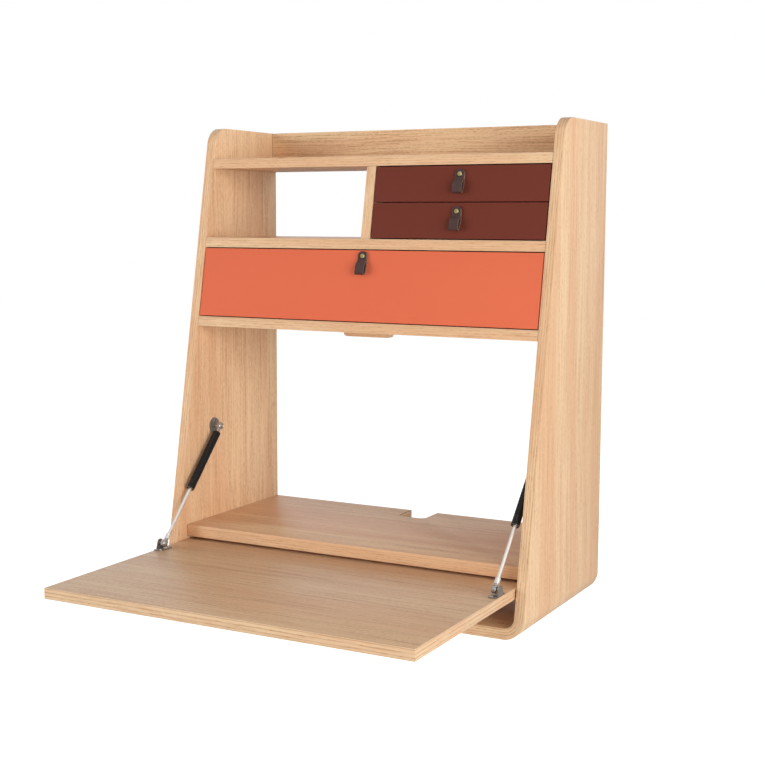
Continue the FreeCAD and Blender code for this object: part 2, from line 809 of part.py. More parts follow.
def make_strut(side, sign):
    make_socket(f"lower_socket_{side}", f"lower_socket_{side}", sign, 0, "Z", "Size.socket_neck_length")

    start = "Size.socket_neck_length"
    nut_length = f"Size.rod_end_length - {start}"
    nut = cut(
        f"rod_nut_{side}",
        bar(f"nut_solid_{side}", "Z", (0, 0, start), nut_length, "Size.nut_radius"),
        [bar(f"nut_bore_{side}", "Z", (0, 0, start), nut_length, "Size.rod_radius + Size.fixed_fit")],
    )
    finish_on_strut(nut, f"rod_nut_{side}", sign)

    rod_length = f"Place.piston_low - {start}"
    rod = fuse(
        f"strut_rod_{side}",
        [
            bar(f"rod_{side}", "Z", (0, 0, start), rod_length, "Size.rod_radius"),
            bar(
                f"piston_{side}",
                "Z",
                (0, 0, "Place.piston_low"),
                "Size.piston_length",
                "Size.tube_bore_radius - Size.running_fit",
            ),
        ],
    )
    finish_on_strut(rod, f"strut_rod_{side}", sign)

    collar_start = (0, 0, "Place.collar_low")
    collar = cut(
        f"tube_collar_{side}",
        bar(f"collar_solid_{side}", "Z", collar_start, "Size.collar_length", "Size.tube_radius"),
        [
            bar(
                f"collar_bore_{side}",
                "Z",
                collar_start,
                "Size.collar_length",
                "Size.rod_radius + Size.running_fit",
            )
        ],
    )
    finish_on_strut(collar, f"tube_collar_{side}", sign)

    tube_start = (0, 0, "Place.collar_high")
    tube_length = "Place.tube_high - Place.collar_high"
    tube = cut(
        f"strut_tube_{side}",
        bar(f"tube_solid_{side}", "Z", tube_start, tube_length, "Size.tube_radius"),
        [
            bar(
                f"tube_bore_{side}",
                "Z",
                tube_start,
                f"{tube_length} - Size.tube_end",
                "Size.tube_bore_radius",
            )
        ],
    )
    finish_on_strut(tube, f"strut_tube_{side}", sign)

    name = f"upper_socket_{side}"
    make_socket(name, name, sign, "Place.strut_open", "-Z", "Size.tube_head_gap")

    name = f"upper_ball_stud_{side}"
    length = "(Size.strut_inset - Size.plate_thickness - Size.stud_plate_gap)"
    stud = make_ball_stud(name + "_upright", sign, length)
    bind(stud, Placement__Base__z="Place.strut_open")
    finish_on_strut(group(name, [stud]), name, sign)


def plate_screw_spots():
    """Sign of the side and height of each screw of the strut plates."""
    spots = []
    for sign in (-1, 1):
        for up in (-1, 1):
            spots.append((sign, f"Size.strut_head_height + {up} * Size.plate_screw_rise"))
    return spots


def plate_screw_bar(name, sign, start, height, length, radius):
    """A bar along X at a plate screw, from a distance off the middle plane outwards."""
    direction = "X" if sign > 0 else "-X"
    place = (f"{sign} * ({start})", "-Size.strut_head_depth", height)
    return bar(name, direction, place, length, radius)


PLATE_FACE = "Place.inner_half - Size.plate_thickness"


def plate_screw_bores():
    """Blind holes in the sides for the screws of the strut plates."""
    bores = []
    for index, (sign, height) in enumerate(plate_screw_spots()):
        depth = "Size.screw_depth + Size.dowel_end_room"
        radius = "Size.screw_radius + Size.fixed_fit"
        name = f"plate_screw_bore_{index}"
        bores.append(plate_screw_bar(name, sign, "Place.inner_half", height, depth, radius))
    return bores


def make_strut_plates():
    """Round plates on the inner faces of the sides, with sunk holes for two screws each."""
    solids = []
    for sign in (-1, 1):
        name = f"plate_disc_{sign + 1}"
        height = "Size.strut_head_height"
        disc = plate_screw_bar(name, sign, PLATE_FACE, height, "Size.plate_thickness", "Size.plate_radius")
        holes = []
        for index, (screw_sign, screw_height) in enumerate(plate_screw_spots()):
            if screw_sign == sign:
                holes.append(
                    plate_screw_bar(
                        f"plate_hole_{index}",
                        sign,
                        PLATE_FACE,
                        screw_height,
                        "Size.plate_thickness",
                        "Size.screw_radius + Size.fixed_fit",
                    )
                )
                holes.append(
                    plate_screw_bar(
                        f"plate_sink_{index}",
                        sign,
                        PLATE_FACE,
                        screw_height,
                        "Size.screw_sink_depth",
                        "Size.screw_head_radius + Size.fixed_fit",
                    )
                )
        solids.append(cut(f"strut_plate_{sign + 1}", disc, [fuse(f"plate_holes_{sign + 1}", holes)]))
    finish(group("strut_plates", solids), "strut_plates")


def make_plate_screws():
    seat = f"{PLATE_FACE} + Size.screw_sink_depth"
    screws = []
    for index, (sign, height) in enumerate(plate_screw_spots()):
        name = f"plate_screw_{index}"
        head_start = f"{seat} - Size.screw_head_sunk"
        head = plate_screw_bar(
            name + "_head", sign, head_start, height, "Size.screw_head_sunk", "Size.screw_head_radius"
        )
        length = "Size.plate_thickness - Size.screw_sink_depth + Size.screw_depth"
        shank = plate_screw_bar(name + "_shank", sign, seat, height, length, "Size.screw_radius")
        screws.append(fuse(name, [head, shank]))
    finish(group("plate_screws", screws), "plate_screws")


# Drawers.

def make_pull(drawer, across, height):
    """A leather strap folded in two, held by one brass screw. Gives back the screw's hole."""
    above = "Size.pull_above"
    below = "Size.pull_below"
    leather = "Size.pull_leather"
    neck = f"-2 * {leather}"
    strap = slab(
        f"{drawer}_strap_loop",
        "YZ_Plane",
        [
            (0, above),
            (neck, above),
            (neck, f"-{above} + {leather}"),
            ("-Size.pull_bow", f"-{below} + 2 * {leather}"),
            (f"-Size.pull_bow + {leather}", f"-{below}"),
            (f"-{leather} / 2", f"-{below}"),
            (0, f"-{below} + {leather}"),
        ],
        "-Size.pull_width / 2",
        "Size.pull_width / 2",
    )
    corners = [(f"{sign} * Size.pull_width / 2", f"-{leather}", above) for sign in (-1, 1)]
    round_edges(strap, f"{drawer}_strap_arch", "Size.pull_arch_radius", corners)
    trim_through(
        strap,
        f"{drawer}_strap_hollow",
        "YZ_Plane",
        [
            (f"-{leather}", f"-{above}"),
            (f"{leather} - Size.pull_bow", f"-{below} + 2.4 * {leather}"),
            (f"1.6 * {leather} - Size.pull_bow", f"-{below} + {leather}"),
            (f"-{leather}", f"-{below} + {leather}"),
        ],
    )

    def hole(name):
        depth = f"2 * {leather} + Size.pull_screw_depth + Size.dowel_end_room"
        return bar(name, "Y", (0, neck, 0), depth, "Size.pull_screw_radius + Size.fixed_fit")

    strap = cut(f"{drawer}_strap", strap, [hole(f"{drawer}_strap_hole")])
    lean_against_front(strap, across, height, "Place.wall_screw_height")
    finished.append(strap)

    head = bar(
        f"{drawer}_screw_head", "-Y", (0, neck, 0), "Size.pull_head_height", "Size.pull_head_radius"
    )
    depth = f"2 * {leather} + Size.pull_screw_depth"
    shank = bar(f"{drawer}_screw_shank", "Y", (0, neck, 0), depth, "Size.pull_screw_radius")
    screw = fuse(f"{drawer}_pull_screw", [head, shank])
    lean_against_front(screw, across, height, "Place.wall_screw_height")
    finished.append(screw)

    front_hole = group(f"{drawer}_front_hole", [hole(f"{drawer}_hole_bar")])
    lean_against_front(front_hole, across, height, 0)
    return front_hole


def make_drawer(drawer, opening, bottom_edge, front_height, box, groove=None):
    """A drawer whose slanted front lies flush between the boards, with a box behind it."""
    left, right = opening
    top_edge = f"({bottom_edge} + {front_height})"
    front_left = f"{left} + Size.front_gap"
    front_right = f"{right} - Size.front_gap"
    thickness = "Size.front_thickness"
    front = slab(
        f"{drawer}_front_board",
        "YZ_Plane",
        [
            (front_at(bottom_edge), bottom_edge),
            (front_at(top_edge), top_edge),
            (f"{front_at(top_edge)} + {thickness}", top_edge),
            (f"{front_at(bottom_edge)} + {thickness}", bottom_edge),
        ],
        front_left,
        front_right,
    )
    across = f"(({left}) + ({right})) / 2"
    pull_height = f"{top_edge} - {box['pull_drop']}"
    front_hole = make_pull(drawer, across, pull_height)
    finish(cut(f"{drawer}_front", front, [front_hole]), f"{drawer}_front")

    floor_low = f"({bottom_edge} + {box['rise']})"
    floor_high = f"({floor_low} + {box['bottom']})"
    top = f"({floor_low} + {box['height']})"
    box_left = f"({left} + {box['side_gap']})"
    box_right = f"({right} - {box['side_gap']})"
    rear = f"-{box['rear']}"

    def behind_front(height):
        return f"{front_at(height)} + {thickness}"

    floor = slab(
        f"{drawer}_bottom",
        "YZ_Plane",
        [
            (rear, floor_low),
            (behind_front(floor_low), floor_low),
            (behind_front(floor_high), floor_high),
            (rear, floor_high),
        ],
        box_left,
        box_right,
    )
    finish(floor, f"{drawer}_bottom")

    side_outline = [
        (rear, floor_high),
        (behind_front(floor_high), floor_high),
        (behind_front(top), top),
        (rear, top),
    ]
    wall = box["side"]
    spans = {
        "left": (box_left, f"{box_left} + {wall}"),
        "right": (f"{box_right} - {wall}", box_right),
    }
    for hand, (low, high) in spans.items():
        name = f"{drawer}_{hand}_side"
        side = slab(name + "_board", "YZ_Plane", side_outline, low, high)
        piece = cut(name, side, [groove(name + "_groove", hand)]) if groove else side
        finish(piece, name)

    back = block(
        f"{drawer}_back",
        (f"{box_left} + {wall}", f"{rear} - {wall}", floor_high),
        (f"{box_right} - {box_left} - 2 * {wall}", wall, f"{top} - {floor_high}"),
    )
    finish_block(back, f"{drawer}_back", floor_high)


WIDE_OPENING = ("-Place.inner_half", "Place.inner_half")
SMALL_OPENING = ("Place.small_left", "Place.inner_half")
CHANNEL_MIDDLE = "(Place.wide_front_bottom + Size.channel_rise)"
CHANNEL_FRONT = (
    f"(-{front_at(CHANNEL_MIDDLE + ' + Size.channel_height / 2')}"
    " - Size.front_thickness - Size.channel_front_room)"
)


def channel(name, sign, web, open_way, half_height):
    """A metal C section along Y. The web is at a distance off the middle plane, and opens one way."""
    wall = "Size.channel_wall"
    back = f"{sign} * ({web})"
    inside = f"{sign} * ({web} {open_way} {wall})"
    lip = f"{sign} * ({web} {open_way} Size.channel_depth)"
    top = f"{CHANNEL_MIDDLE} + {half_height}"
    low = f"{CHANNEL_MIDDLE} - {half_height}"
    outline = [
        (back, low),
        (lip, low),
        (lip, f"{low} + {wall}"),
        (inside, f"{low} + {wall}"),
        (inside, f"{top} - {wall}"),
        (lip, f"{top} - {wall}"),
        (lip, top),
        (back, top),
    ]
    return slab(name, "XZ_Plane", outline, "Place.wide_rear", CHANNEL_FRONT)


def make_channels():
    outer = [
        channel(f"cabinet_channel_{sign + 1}", sign, "Place.inner_half", "-", "Size.channel_height / 2")
        for sign in (-1, 1)
    ]
    finish(group("wide_cabinet_runners", outer), "wide_cabinet_runners")
    web = "Place.inner_half - Size.wide_side_gap"
    half_height = "(Size.channel_height / 2 - Size.channel_wall - Size.channel_gap)"
    inner = [channel(f"drawer_channel_{sign + 1}", sign, web, "+", half_height) for sign in (-1, 1)]
    finish(group("wide_drawer_runners", inner), "wide_drawer_runners")


def small_runner(name, hand, bottom_edge, gap, end_gap):
    """A strip on one side of a small drawer. With gaps, the groove that runs over it."""
    height = f"Size.runner_height + 2 * {gap}"
    middle = f"({bottom_edge} + Size.runner_rise)"
    low = f"{middle} - Size.runner_height / 2 - {gap}"
    front_end = f"({front_at(middle)} + Size.front_thickness + Size.runner_front_room - {end_gap})"
    length = f"-{front_end} - Size.small_rear"
    depth = f"Size.runner_depth + {end_gap}"
    if hand == "left":
        x = "Place.small_left"
    else:
        x = f"Place.inner_half - ({depth})"
    return block(name, (x, front_end, low), (depth, length, height))


def make_small_runners(drawer, bottom_edge):
    strips = [small_runner(f"{drawer}_strip_{hand}", hand, bottom_edge, 0, 0) for hand in ("left", "right")]
    finish(group(f"{drawer}_runners", strips), f"{drawer}_runners")


def make_small_drawer(drawer, bottom_edge):
    box = {
        "rise": "Size.small_box_rise",
        "bottom": "Size.small_bottom",
        "height": "Size.small_box_height",
        "side_gap": "Size.front_gap",
        "side": "Size.small_side_thickness",
        "rear": "Size.small_rear",
        "pull_drop": "Size.small_pull_drop",
    }

    def groove(name, hand):
        return small_runner(name, hand, bottom_edge, "Size.runner_gap", "Size.runner_end_gap")

    make_drawer(drawer, SMALL_OPENING, bottom_edge, "Place.small_front_height", box, groove)
    make_small_runners(drawer, bottom_edge)


def make_wide_drawer():
    box = {
        "rise": "Size.wide_box_rise",
        "bottom": "Size.wide_bottom",
        "height": "Size.wide_box_height",
        "side_gap": "Size.wide_side_gap",
        "side": "Size.wide_side_thickness",
        "rear": "Place.wide_rear",
        "pull_drop": "Size.wide_pull_drop",
    }
    front_height = "(Size.lower_bay - 2 * Size.front_gap)"
    make_drawer("wide", WIDE_OPENING, "Place.wide_front_bottom", front_height, box)
    make_channels()


# The desk, piece by piece.

shell_bores = pin_bores() + plate_screw_bores()
for board in END_JOINTS:
    for index, (y, z) in enumerate(END_JOINTS[board]):
        for sign in (-1, 1):
            name = f"shell_{board}_hole_{index}_{sign + 1}"
            shell_bores.append(end_dowel(name, sign, y, z, "Size.fixed_fit", "Size.dowel_end_room"))
make_bent_shell(shell_bores)
leaning_shelf("top_shelf", "Place.top_shelf_bottom")
leaning_shelf("middle_shelf", "Place.middle_shelf_bottom")
leaning_shelf("drawer_shelf", "Place.drawer_shelf_bottom")
make_work_shelf()
make_back_rail()
make_hanging_rail()
make_divider()
make_bay_back()
make_under_shelf_block()
make_dowels()

make_pivot_pins()
make_pivot_bushes()
make_leaf()
make_bracket_screws()
make_strut_plates()
make_plate_screws()
for side, sign in (("left", -1), ("right", 1)):
    make_bracket(side, sign)
    make_lower_ball_stud(side, sign)
    make_strut(side, sign)

make_wide_drawer()
make_small_drawer("lower", "Place.lower_front_bottom")
make_small_drawer("upper", "Place.upper_front_bottom")

doc.recompute()
for item in doc.Objects:
    if "Invalid" in item.State or "Error" in item.State:
        raise RuntimeError(f"{item.Label} failed: {item.State}")
for piece in finished:
    if piece.Shape.isNull() or not piece.Shape.isValid():
        raise RuntimeError(f"{piece.Label} has no valid shape")

os.makedirs("parts", exist_ok=True)
for piece in finished:
    piece.Shape.exportStep(os.path.join("parts", piece.Label + ".step"))
    solids = len(piece.Shape.Solids)
    print(f"{piece.Label}: {solids} solid(s), {piece.Shape.Volume / 1000:.2f} cm3")
print(len(finished), "pieces")
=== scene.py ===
import json
import math

import bmesh
import bpy
from mathutils import Matrix, Vector


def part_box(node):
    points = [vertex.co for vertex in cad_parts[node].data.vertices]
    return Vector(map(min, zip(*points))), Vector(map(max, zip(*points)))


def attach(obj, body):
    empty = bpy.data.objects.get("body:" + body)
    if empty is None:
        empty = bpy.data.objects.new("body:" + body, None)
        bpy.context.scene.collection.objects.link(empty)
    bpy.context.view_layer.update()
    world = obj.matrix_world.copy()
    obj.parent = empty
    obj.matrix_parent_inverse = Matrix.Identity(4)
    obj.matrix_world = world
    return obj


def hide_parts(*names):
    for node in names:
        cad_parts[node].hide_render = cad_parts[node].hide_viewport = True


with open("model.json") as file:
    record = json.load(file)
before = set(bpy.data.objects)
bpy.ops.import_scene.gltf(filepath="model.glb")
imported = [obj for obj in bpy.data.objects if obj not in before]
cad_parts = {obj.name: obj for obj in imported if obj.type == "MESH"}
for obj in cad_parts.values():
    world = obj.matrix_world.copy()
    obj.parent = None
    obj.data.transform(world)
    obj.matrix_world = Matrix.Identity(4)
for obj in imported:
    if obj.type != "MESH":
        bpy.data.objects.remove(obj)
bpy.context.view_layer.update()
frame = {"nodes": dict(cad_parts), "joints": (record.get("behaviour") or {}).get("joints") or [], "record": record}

# Bent shell -----------------------------------
# Both sides and the floor are one U of thin beech plies, pressed round a form and faced with oak
# veneer, so the grain runs down one side, round the bends and up the other. The front edge is cut
# at a slant, shows the plies, and is rounded over at the top.

SHELL_LOW, SHELL_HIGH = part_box("bent_shell")
BOARD, BEND, TOP_CORNER, DEPTH_AT_TOP = 0.018, 0.035, 0.038, 0.208
LEAN = (-SHELL_LOW.y - DEPTH_AT_TOP) / (SHELL_HIGH.z - SHELL_LOW.z)
STRETCH = math.hypot(1, LEAN)
INNER = SHELL_HIGH.x - BOARD
FLAT_HALF = SHELL_HIGH.x - BEND
BEND_LENGTH = math.pi / 2 * (BEND - BOARD / 2)
SHELL_ARRIS = 0.0009
SHARP, CREASE = math.radians(35), math.radians(25)

RECORD = frame["record"]
BODY_OF = {name: body for body, names in RECORD["behaviour"]["bodies"].items() for name in names}


def front(z):
    """Where the leaning front plane is at a height."""
    return SHELL_LOW.y + LEAN * (z - SHELL_LOW.z)


def shell_front(z):
    """The front edge of a side, with its rounded top corner."""
    centre_z = SHELL_HIGH.z - TOP_CORNER
    centre_y = front(centre_z) + TOP_CORNER * STRETCH
    if z <= centre_z + TOP_CORNER * LEAN / STRETCH:
        return front(z)
    return centre_y - math.sqrt(max(TOP_CORNER**2 - (z - centre_z) ** 2, 0))


def loft(sections):
    """A solid skinned over sections with the same number of points, and capped at both ends."""
    mesh = bmesh.new()
    rings = [[mesh.verts.new(point) for point in section] for section in sections]
    for ring, following in zip(rings, rings[1:]):
        for k in range(len(ring)):
            mesh.faces.new((ring[k - 1], ring[k], following[k], following[k - 1]))
    mesh.faces.new(rings[0])
    mesh.faces.new(rings[-1])
    bmesh.ops.recalc_face_normals(mesh, faces=mesh.faces)
    return mesh


def round_arrises(mesh, width, segments=3):
    """Takes the sharp edges off a solid."""
    edges = [edge for edge in mesh.edges if edge.calc_face_angle(0) > SHARP]
    bmesh.ops.bevel(
        mesh, geom=edges, offset=width, segments=segments, profile=0.5, affect="EDGES", clamp_overlap=True
    )
    return mesh


def put(name, data):
    """A new object in the scene."""
    made = bpy.data.objects.new(name, data)
    bpy.context.scene.collection.objects.link(made)
    return made


def piece(name, data, cad_node, material):
    """Puts a finished mesh in the place of a CAD node."""
    data.name = name
    data.materials.clear()
    data.materials.append(material)
    data.shade_smooth()
    data.set_sharp_from_angle(angle=CREASE)
    made = put(name, data)
    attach(made, BODY_OF[cad_node])
    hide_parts(cad_node)


def to_data(mesh):
    data = bpy.data.meshes.new("blank")
    mesh.to_mesh(data)
    mesh.free()
    return data


PROBE, FLAT, JOINT_SLANT = 0.0001, 0.96, (0.2, 0.98)
SHIFT_ALONG, SHIFT_ACROSS = 2.31, 0.47


def lay_grain(data, place, shift, jointed=False):
    """Stores where each corner lies in the wood: along the grain, across it, and into the board.
    The attribute cut tells end grain, ply edges and rounded arrises from the veneered faces, and
    counts the arrises at the jointed ends of a board below zero. Shift takes each board from
    another part of the veneer."""
    grain = data.attributes.new("grain", "FLOAT_VECTOR", "CORNER")
    cut = data.attributes.new("cut", "FLOAT_VECTOR", "CORNER")
    for face in data.polygons:
        here = Vector(place(face.center))
        turn = (Vector(place(face.center + face.normal * PROBE)) - here) / PROBE
        arris = 1 if max(math.hypot(turn.x, turn.y), abs(turn.z)) < FLAT else 0
        if jointed and JOINT_SLANT[0] < abs(turn.x) < JOINT_SLANT[1]:
            arris = -1
        for corner in face.loop_indices:
            along, across, depth = place(data.vertices[data.loops[corner].vertex_index].co)
            grain.data[corner].vector = (along + shift * SHIFT_ALONG, across + shift * SHIFT_ACROSS, depth)
            cut.data[corner].vector = (abs(turn.x), abs(turn.y), arris)


def node(tree, kind, inputs, **settings):
    """A node with its settings, and its inputs linked or set."""
    made = tree.nodes.new(kind)
    for name, value in settings.items():
        setattr(made, name, value)
    for key, value in inputs.items():
        if isinstance(value, bpy.types.NodeSocket):
            tree.links.new(value, made.inputs[key])
        else:
            made.inputs[key].default_value = value
    return made


def feed(tree, sockets, values):
    """Links values to named sockets."""
    for name, value in values.items():
        tree.links.new(value, sockets[name])


def math_node(tree, operation, *values, clamp=False):
    made = node(tree, "ShaderNodeMath", dict(enumerate(values)), operation=operation, use_clamp=clamp)
    return made.outputs[0]


def times(tree, value, factor, clamp=False):
    return math_node(tree, "MULTIPLY", value, factor, clamp=clamp)


def weigh(tree, value, factor, onto, clamp=False):
    """A value times a factor, on top of another."""
    return math_node(tree, "MULTIPLY_ADD", value, factor, onto, clamp=clamp)


def swing(tree, value, factor, onto):
    """A value's distance from a half times a factor, on top of another."""
    return weigh(tree, math_node(tree, "SUBTRACT", value, 0.5), factor, onto)


def vector_node(tree, operation, first, second):
    return node(tree, "ShaderNodeVectorMath", {0: first, 1: second}, operation=operation).outputs[0]


def combine(tree, x, y, z):
    return node(tree, "ShaderNodeCombineXYZ", {0: x, 1: y, 2: z}).outputs[0]


def split(tree, vector):
    return node(tree, "ShaderNodeSeparateXYZ", {0: vector}).outputs


def attribute(tree, name, output="Fac"):
    return node(tree, "ShaderNodeAttribute", {}, attribute_name=name).outputs[output]


def mix_colours(tree, factor, first, second, blend="MIX"):
    made = node(tree, "ShaderNodeMix", {0: factor, 6: first, 7: second}, data_type="RGBA", blend_type=blend)
    return made.outputs[2]


def spread(tree, value, low, high, to_low=0.0, to_high=1.0):
    """Stretches a value between two limits, softly at both."""
    inputs = {0: value, 1: low, 2: high, 3: to_low, 4: to_high}
    return node(tree, "ShaderNodeMapRange", inputs, interpolation_type="SMOOTHSTEP").outputs[0]


def noise(tree, vector, scale, detail=2.0, roughness=0.5):
    inputs = {"Vector": vector, "Scale": scale, "Detail": detail, "Roughness": roughness}
    return node(tree, "ShaderNodeTexNoise", inputs).outputs["Fac"]


def stretched_noise(tree, vector, stretch, detail=2.0, roughness=0.5):
    """Noise drawn out by a different amount each way."""
    return noise(tree, vector_node(tree, "MULTIPLY", vector, stretch), 1.0, detail, roughness)


def new_group(name, tree_kind, inputs, outputs):
    """A node group with named sockets, and its two end nodes. The default value of an input tells
    its kind. An input without one gives the kind as a word."""
    group = bpy.data.node_groups.new(name, tree_kind)
    for label, value in inputs.items():
        if isinstance(value, str):
            kind = value
        elif isinstance(value, tuple):
            kind = "Color" if len(value) == 4 else "Vector"
        else:
            kind = "Int" if isinstance(value, int) else "Float"
        socket = group.interface.new_socket(label, in_out="INPUT", socket_type="NodeSocket" + kind)
        if kind != value:
            socket.default_value = value
    for label, kind in outputs.items():
        group.interface.new_socket(label, in_out="OUTPUT", socket_type="NodeSocket" + kind)
    return group, group.nodes.new("NodeGroupInput").outputs, group.nodes.new("NodeGroupOutput").inputs


SURFACE = {"Color": "Color", "Roughness": "Float", "Height": "Float"}

# How many times a metre each pattern of the wood repeats: along the grain, across it and into it.
WANDER, STRIPS, BANDS, LINES = (2.2, 9, 9), (0.8, 15, 15), (3, 70, 70), (3.5, 330, 330)
FINE, GRIT, PORES = (6, 560, 560), (130, 680, 680), (42, 900, 900)
SWAY, FIBRES, DASHES = (3, 3, 40), (20, 20, 460), (95, 95, 750)
WANDER_WIDTH, SWAY_WIDTH = 0.016, 0.006
OUTER_PLY, GLUE_LINE, GLUE_END = (0.0009, 0.0016), (0.0011, 0.0016), (0.0020, 0.0026)
# A painted highlight for the rounded arrises, and a dark line for those at jointed ends.
PAINTED_ARRIS_HIGHLIGHT, JOINT_LINE = (1, 0.93, 0.82, 1), (0.10, 0.05, 0.028, 1)


def make_wood_group():
    """Veneer with tone strips, streaks and pores on its faces, plies on its cut edges, and a painted highlight on
    its rounded arrises.
    """
    inputs = {
        "Grain": "Vector", "Cut": "Vector",
        "Pale": (0.87, 0.605, 0.365, 1), "Warm": (0.82, 0.505, 0.290, 1), "Dark": (0.60, 0.320, 0.160, 1),
        "Board": BOARD, "Ply Thickness": 0.0022, "Ply Contrast": 0.45, "Pores": 1.0, "Streaks": 1.0,
    }
    group, given, result = new_group("veneered_plywood", "ShaderNodeTree", inputs, SURFACE)
    aside = math_node(group, "SUBTRACT", stretched_noise(group, given["Grain"], WANDER), 0.5)
    aside = combine(group, 0.0, times(group, aside, WANDER_WIDTH), 0.0)
    grain = vector_node(group, "ADD", given["Grain"], aside)
    depth = split(group, grain)["Z"]
    cut = split(group, given["Cut"])

    # The veneered faces: two hues in strips, and darker tones laid over them one by one.
    strips = stretched_noise(group, grain, STRIPS, 3.0, 0.6)
    bands = stretched_noise(group, grain, BANDS, 4.0, 0.6)
    lines = spread(group, stretched_noise(group, grain, LINES, 3.0, 0.6), 0.50, 0.70)
    fine = stretched_noise(group, grain, FINE, 3.0, 0.6)
    grit = stretched_noise(group, grain, GRIT, 2.0, 0.6)
    pores = spread(group, stretched_noise(group, grain, PORES, 1.0), 0.58, 0.68)
    pores = times(group, pores, given["Pores"])
    base = mix_colours(group, spread(group, strips, 0.42, 0.58), given["Pale"], given["Warm"])
    tone = swing(group, bands, 1.3, 0.10)
    tone = weigh(group, lines, 0.44, tone)
    tone = swing(group, grit, 2.2, tone)
    streaks = weigh(group, pores, 0.40, weigh(group, fine, 3.3, -1.68))
    tone = weigh(group, streaks, given["Streaks"], tone, clamp=True)
    veneer = mix_colours(group, tone, base, given["Dark"])

    # The cut edges: wavy plies in turn pale and dark, their fibres, dashes and outer glue lines.
    sway = stretched_noise(group, grain, SWAY)
    phase = math_node(group, "DIVIDE", depth, given["Ply Thickness"])
    phase = weigh(group, phase, math.pi, times(group, sway, 5.0))
    layers = spread(group, math_node(group, "SINE", phase), 0.0, 0.95)
    bent = combine(group, 0.0, 0.0, times(group, sway, SWAY_WIDTH))
    fibres = stretched_noise(group, vector_node(group, "ADD", grain, bent), FIBRES, 4.0, 0.65)
    dashes = spread(group, stretched_noise(group, grain, DASHES, 1.0), 0.54, 0.64)
    dashes = times(group, dashes, spread(group, layers, 0.0, 1.0, 0.25, 1.0))
    inward = math_node(group, "MINIMUM", depth, math_node(group, "SUBTRACT", given["Board"], depth))
    glue = math_node(group, "SUBTRACT", spread(group, inward, *GLUE_LINE), spread(group, inward, *GLUE_END))
    ply_tone = weigh(group, layers, given["Ply Contrast"], 0.06)
    ply_tone = swing(group, fibres, 2.2, ply_tone)
    ply_tone = weigh(group, dashes, 0.6, ply_tone)
    ply_tone = times(group, ply_tone, spread(group, inward, *OUTER_PLY, 0.2, 1.0))
    ply_tone = weigh(group, glue, 0.35, ply_tone, clamp=True)
    plies = mix_colours(group, ply_tone, base, given["Dark"])

    side_cut = {0: combine(group, cut["X"], cut["Y"], 0.0)}
    turned = node(group, "ShaderNodeVectorMath", side_cut, operation="LENGTH").outputs["Value"]
    edge = spread(group, turned, 0.55, 0.85)
    colour = mix_colours(group, edge, veneer, plies)
    # The rounded arrises are painted paler, a painted highlight along the edges; those at jointed ends get the
    # dark joint line.
    painted_highlight = mix_colours(group, 0.3, given["Pale"], PAINTED_ARRIS_HIGHLIGHT)
    arris = times(group, cut["Z"], 0.5, clamp=True)
    colour = mix_colours(group, arris, colour, painted_highlight)
    joint = times(group, cut["Z"], -0.85, clamp=True)
    colour = mix_colours(group, joint, colour, JOINT_LINE)

    rough = weigh(group, pores, 0.18, weigh(group, bands, 0.16, 0.38))
    relief = weigh(group, fine, 0.5, times(group, pores, -1.0))
    ply_relief = times(group, times(group, layers, edge), -0.5)
    height = math_node(group, "ADD", relief, ply_relief)
    feed(group, result, {"Color": colour, "Roughness": rough, "Height": height})
    return group


WOOD = make_wood_group()
WOOD_RELIEF = 0.0003


def new_material(name, **constants):
    """A material with a Principled shader, its constant values set on the shader's own sockets."""
    material = bpy.data.materials.new(name)
    material.use_nodes = True
    shader = material.node_tree.nodes["Principled BSDF"]
    for key, value in constants.items():
        shader.inputs[key.replace("_", " ")].default_value = value
    return material, material.node_tree, shader.inputs


def dress(tree, shader, group, inputs, strength, distance):
    """Places a surface group in a material and feeds its colour, roughness and relief to the shader."""
    surface = node(tree, "ShaderNodeGroup", inputs, node_tree=group).outputs
    relief = {"Strength": strength, "Distance": distance, "Height": surface["Height"]}
    normal = node(tree, "ShaderNodeBump", relief).outputs["Normal"]
    feed(tree, shader, {"Base Color": surface["Color"], "Roughness": surface["Roughness"], "Normal": normal})


def wood_material(name, **values):
    """Wood whose grain follows the attributes laid on the piece."""
    material, tree, shader = new_material(name, Coat_Weight=0.32, Coat_Roughness=0.36, Specular_IOR_Level=0.3)
    inputs = {"Grain": attribute(tree, "grain", "Vector"), "Cut": attribute(tree, "cut", "Vector")}
    inputs.update({key.replace("_", " "): value for key, value in values.items()})
    dress(tree, shader, WOOD, inputs, 0.25, WOOD_RELIEF)
    return material


OAK = wood_material("oak_veneer")


def round_the_shell(point):
    """How far round the U a point lies, how far from the wall, and how deep in the board."""
    x, height = abs(point[0]), point[2] - SHELL_LOW.z
    side = math.copysign(1, point[0])
    if height >= BEND:
        return side * (FLAT_HALF + BEND_LENGTH + height - BEND), point[1], SHELL_HIGH.x - x
    if x <= FLAT_HALF:
        return point[0], point[1], height
    angle = math.atan2(x - FLAT_HALF, BEND - height)
    depth = BEND - math.hypot(x - FLAT_HALF, BEND - height)
    return side * (FLAT_HALF + angle * (BEND - BOARD / 2)), point[1], depth


def quarter_turn(steps):
    """Angles from nought to a right angle."""
    return [math.pi / 2 * step / steps for step in range(steps + 1)]


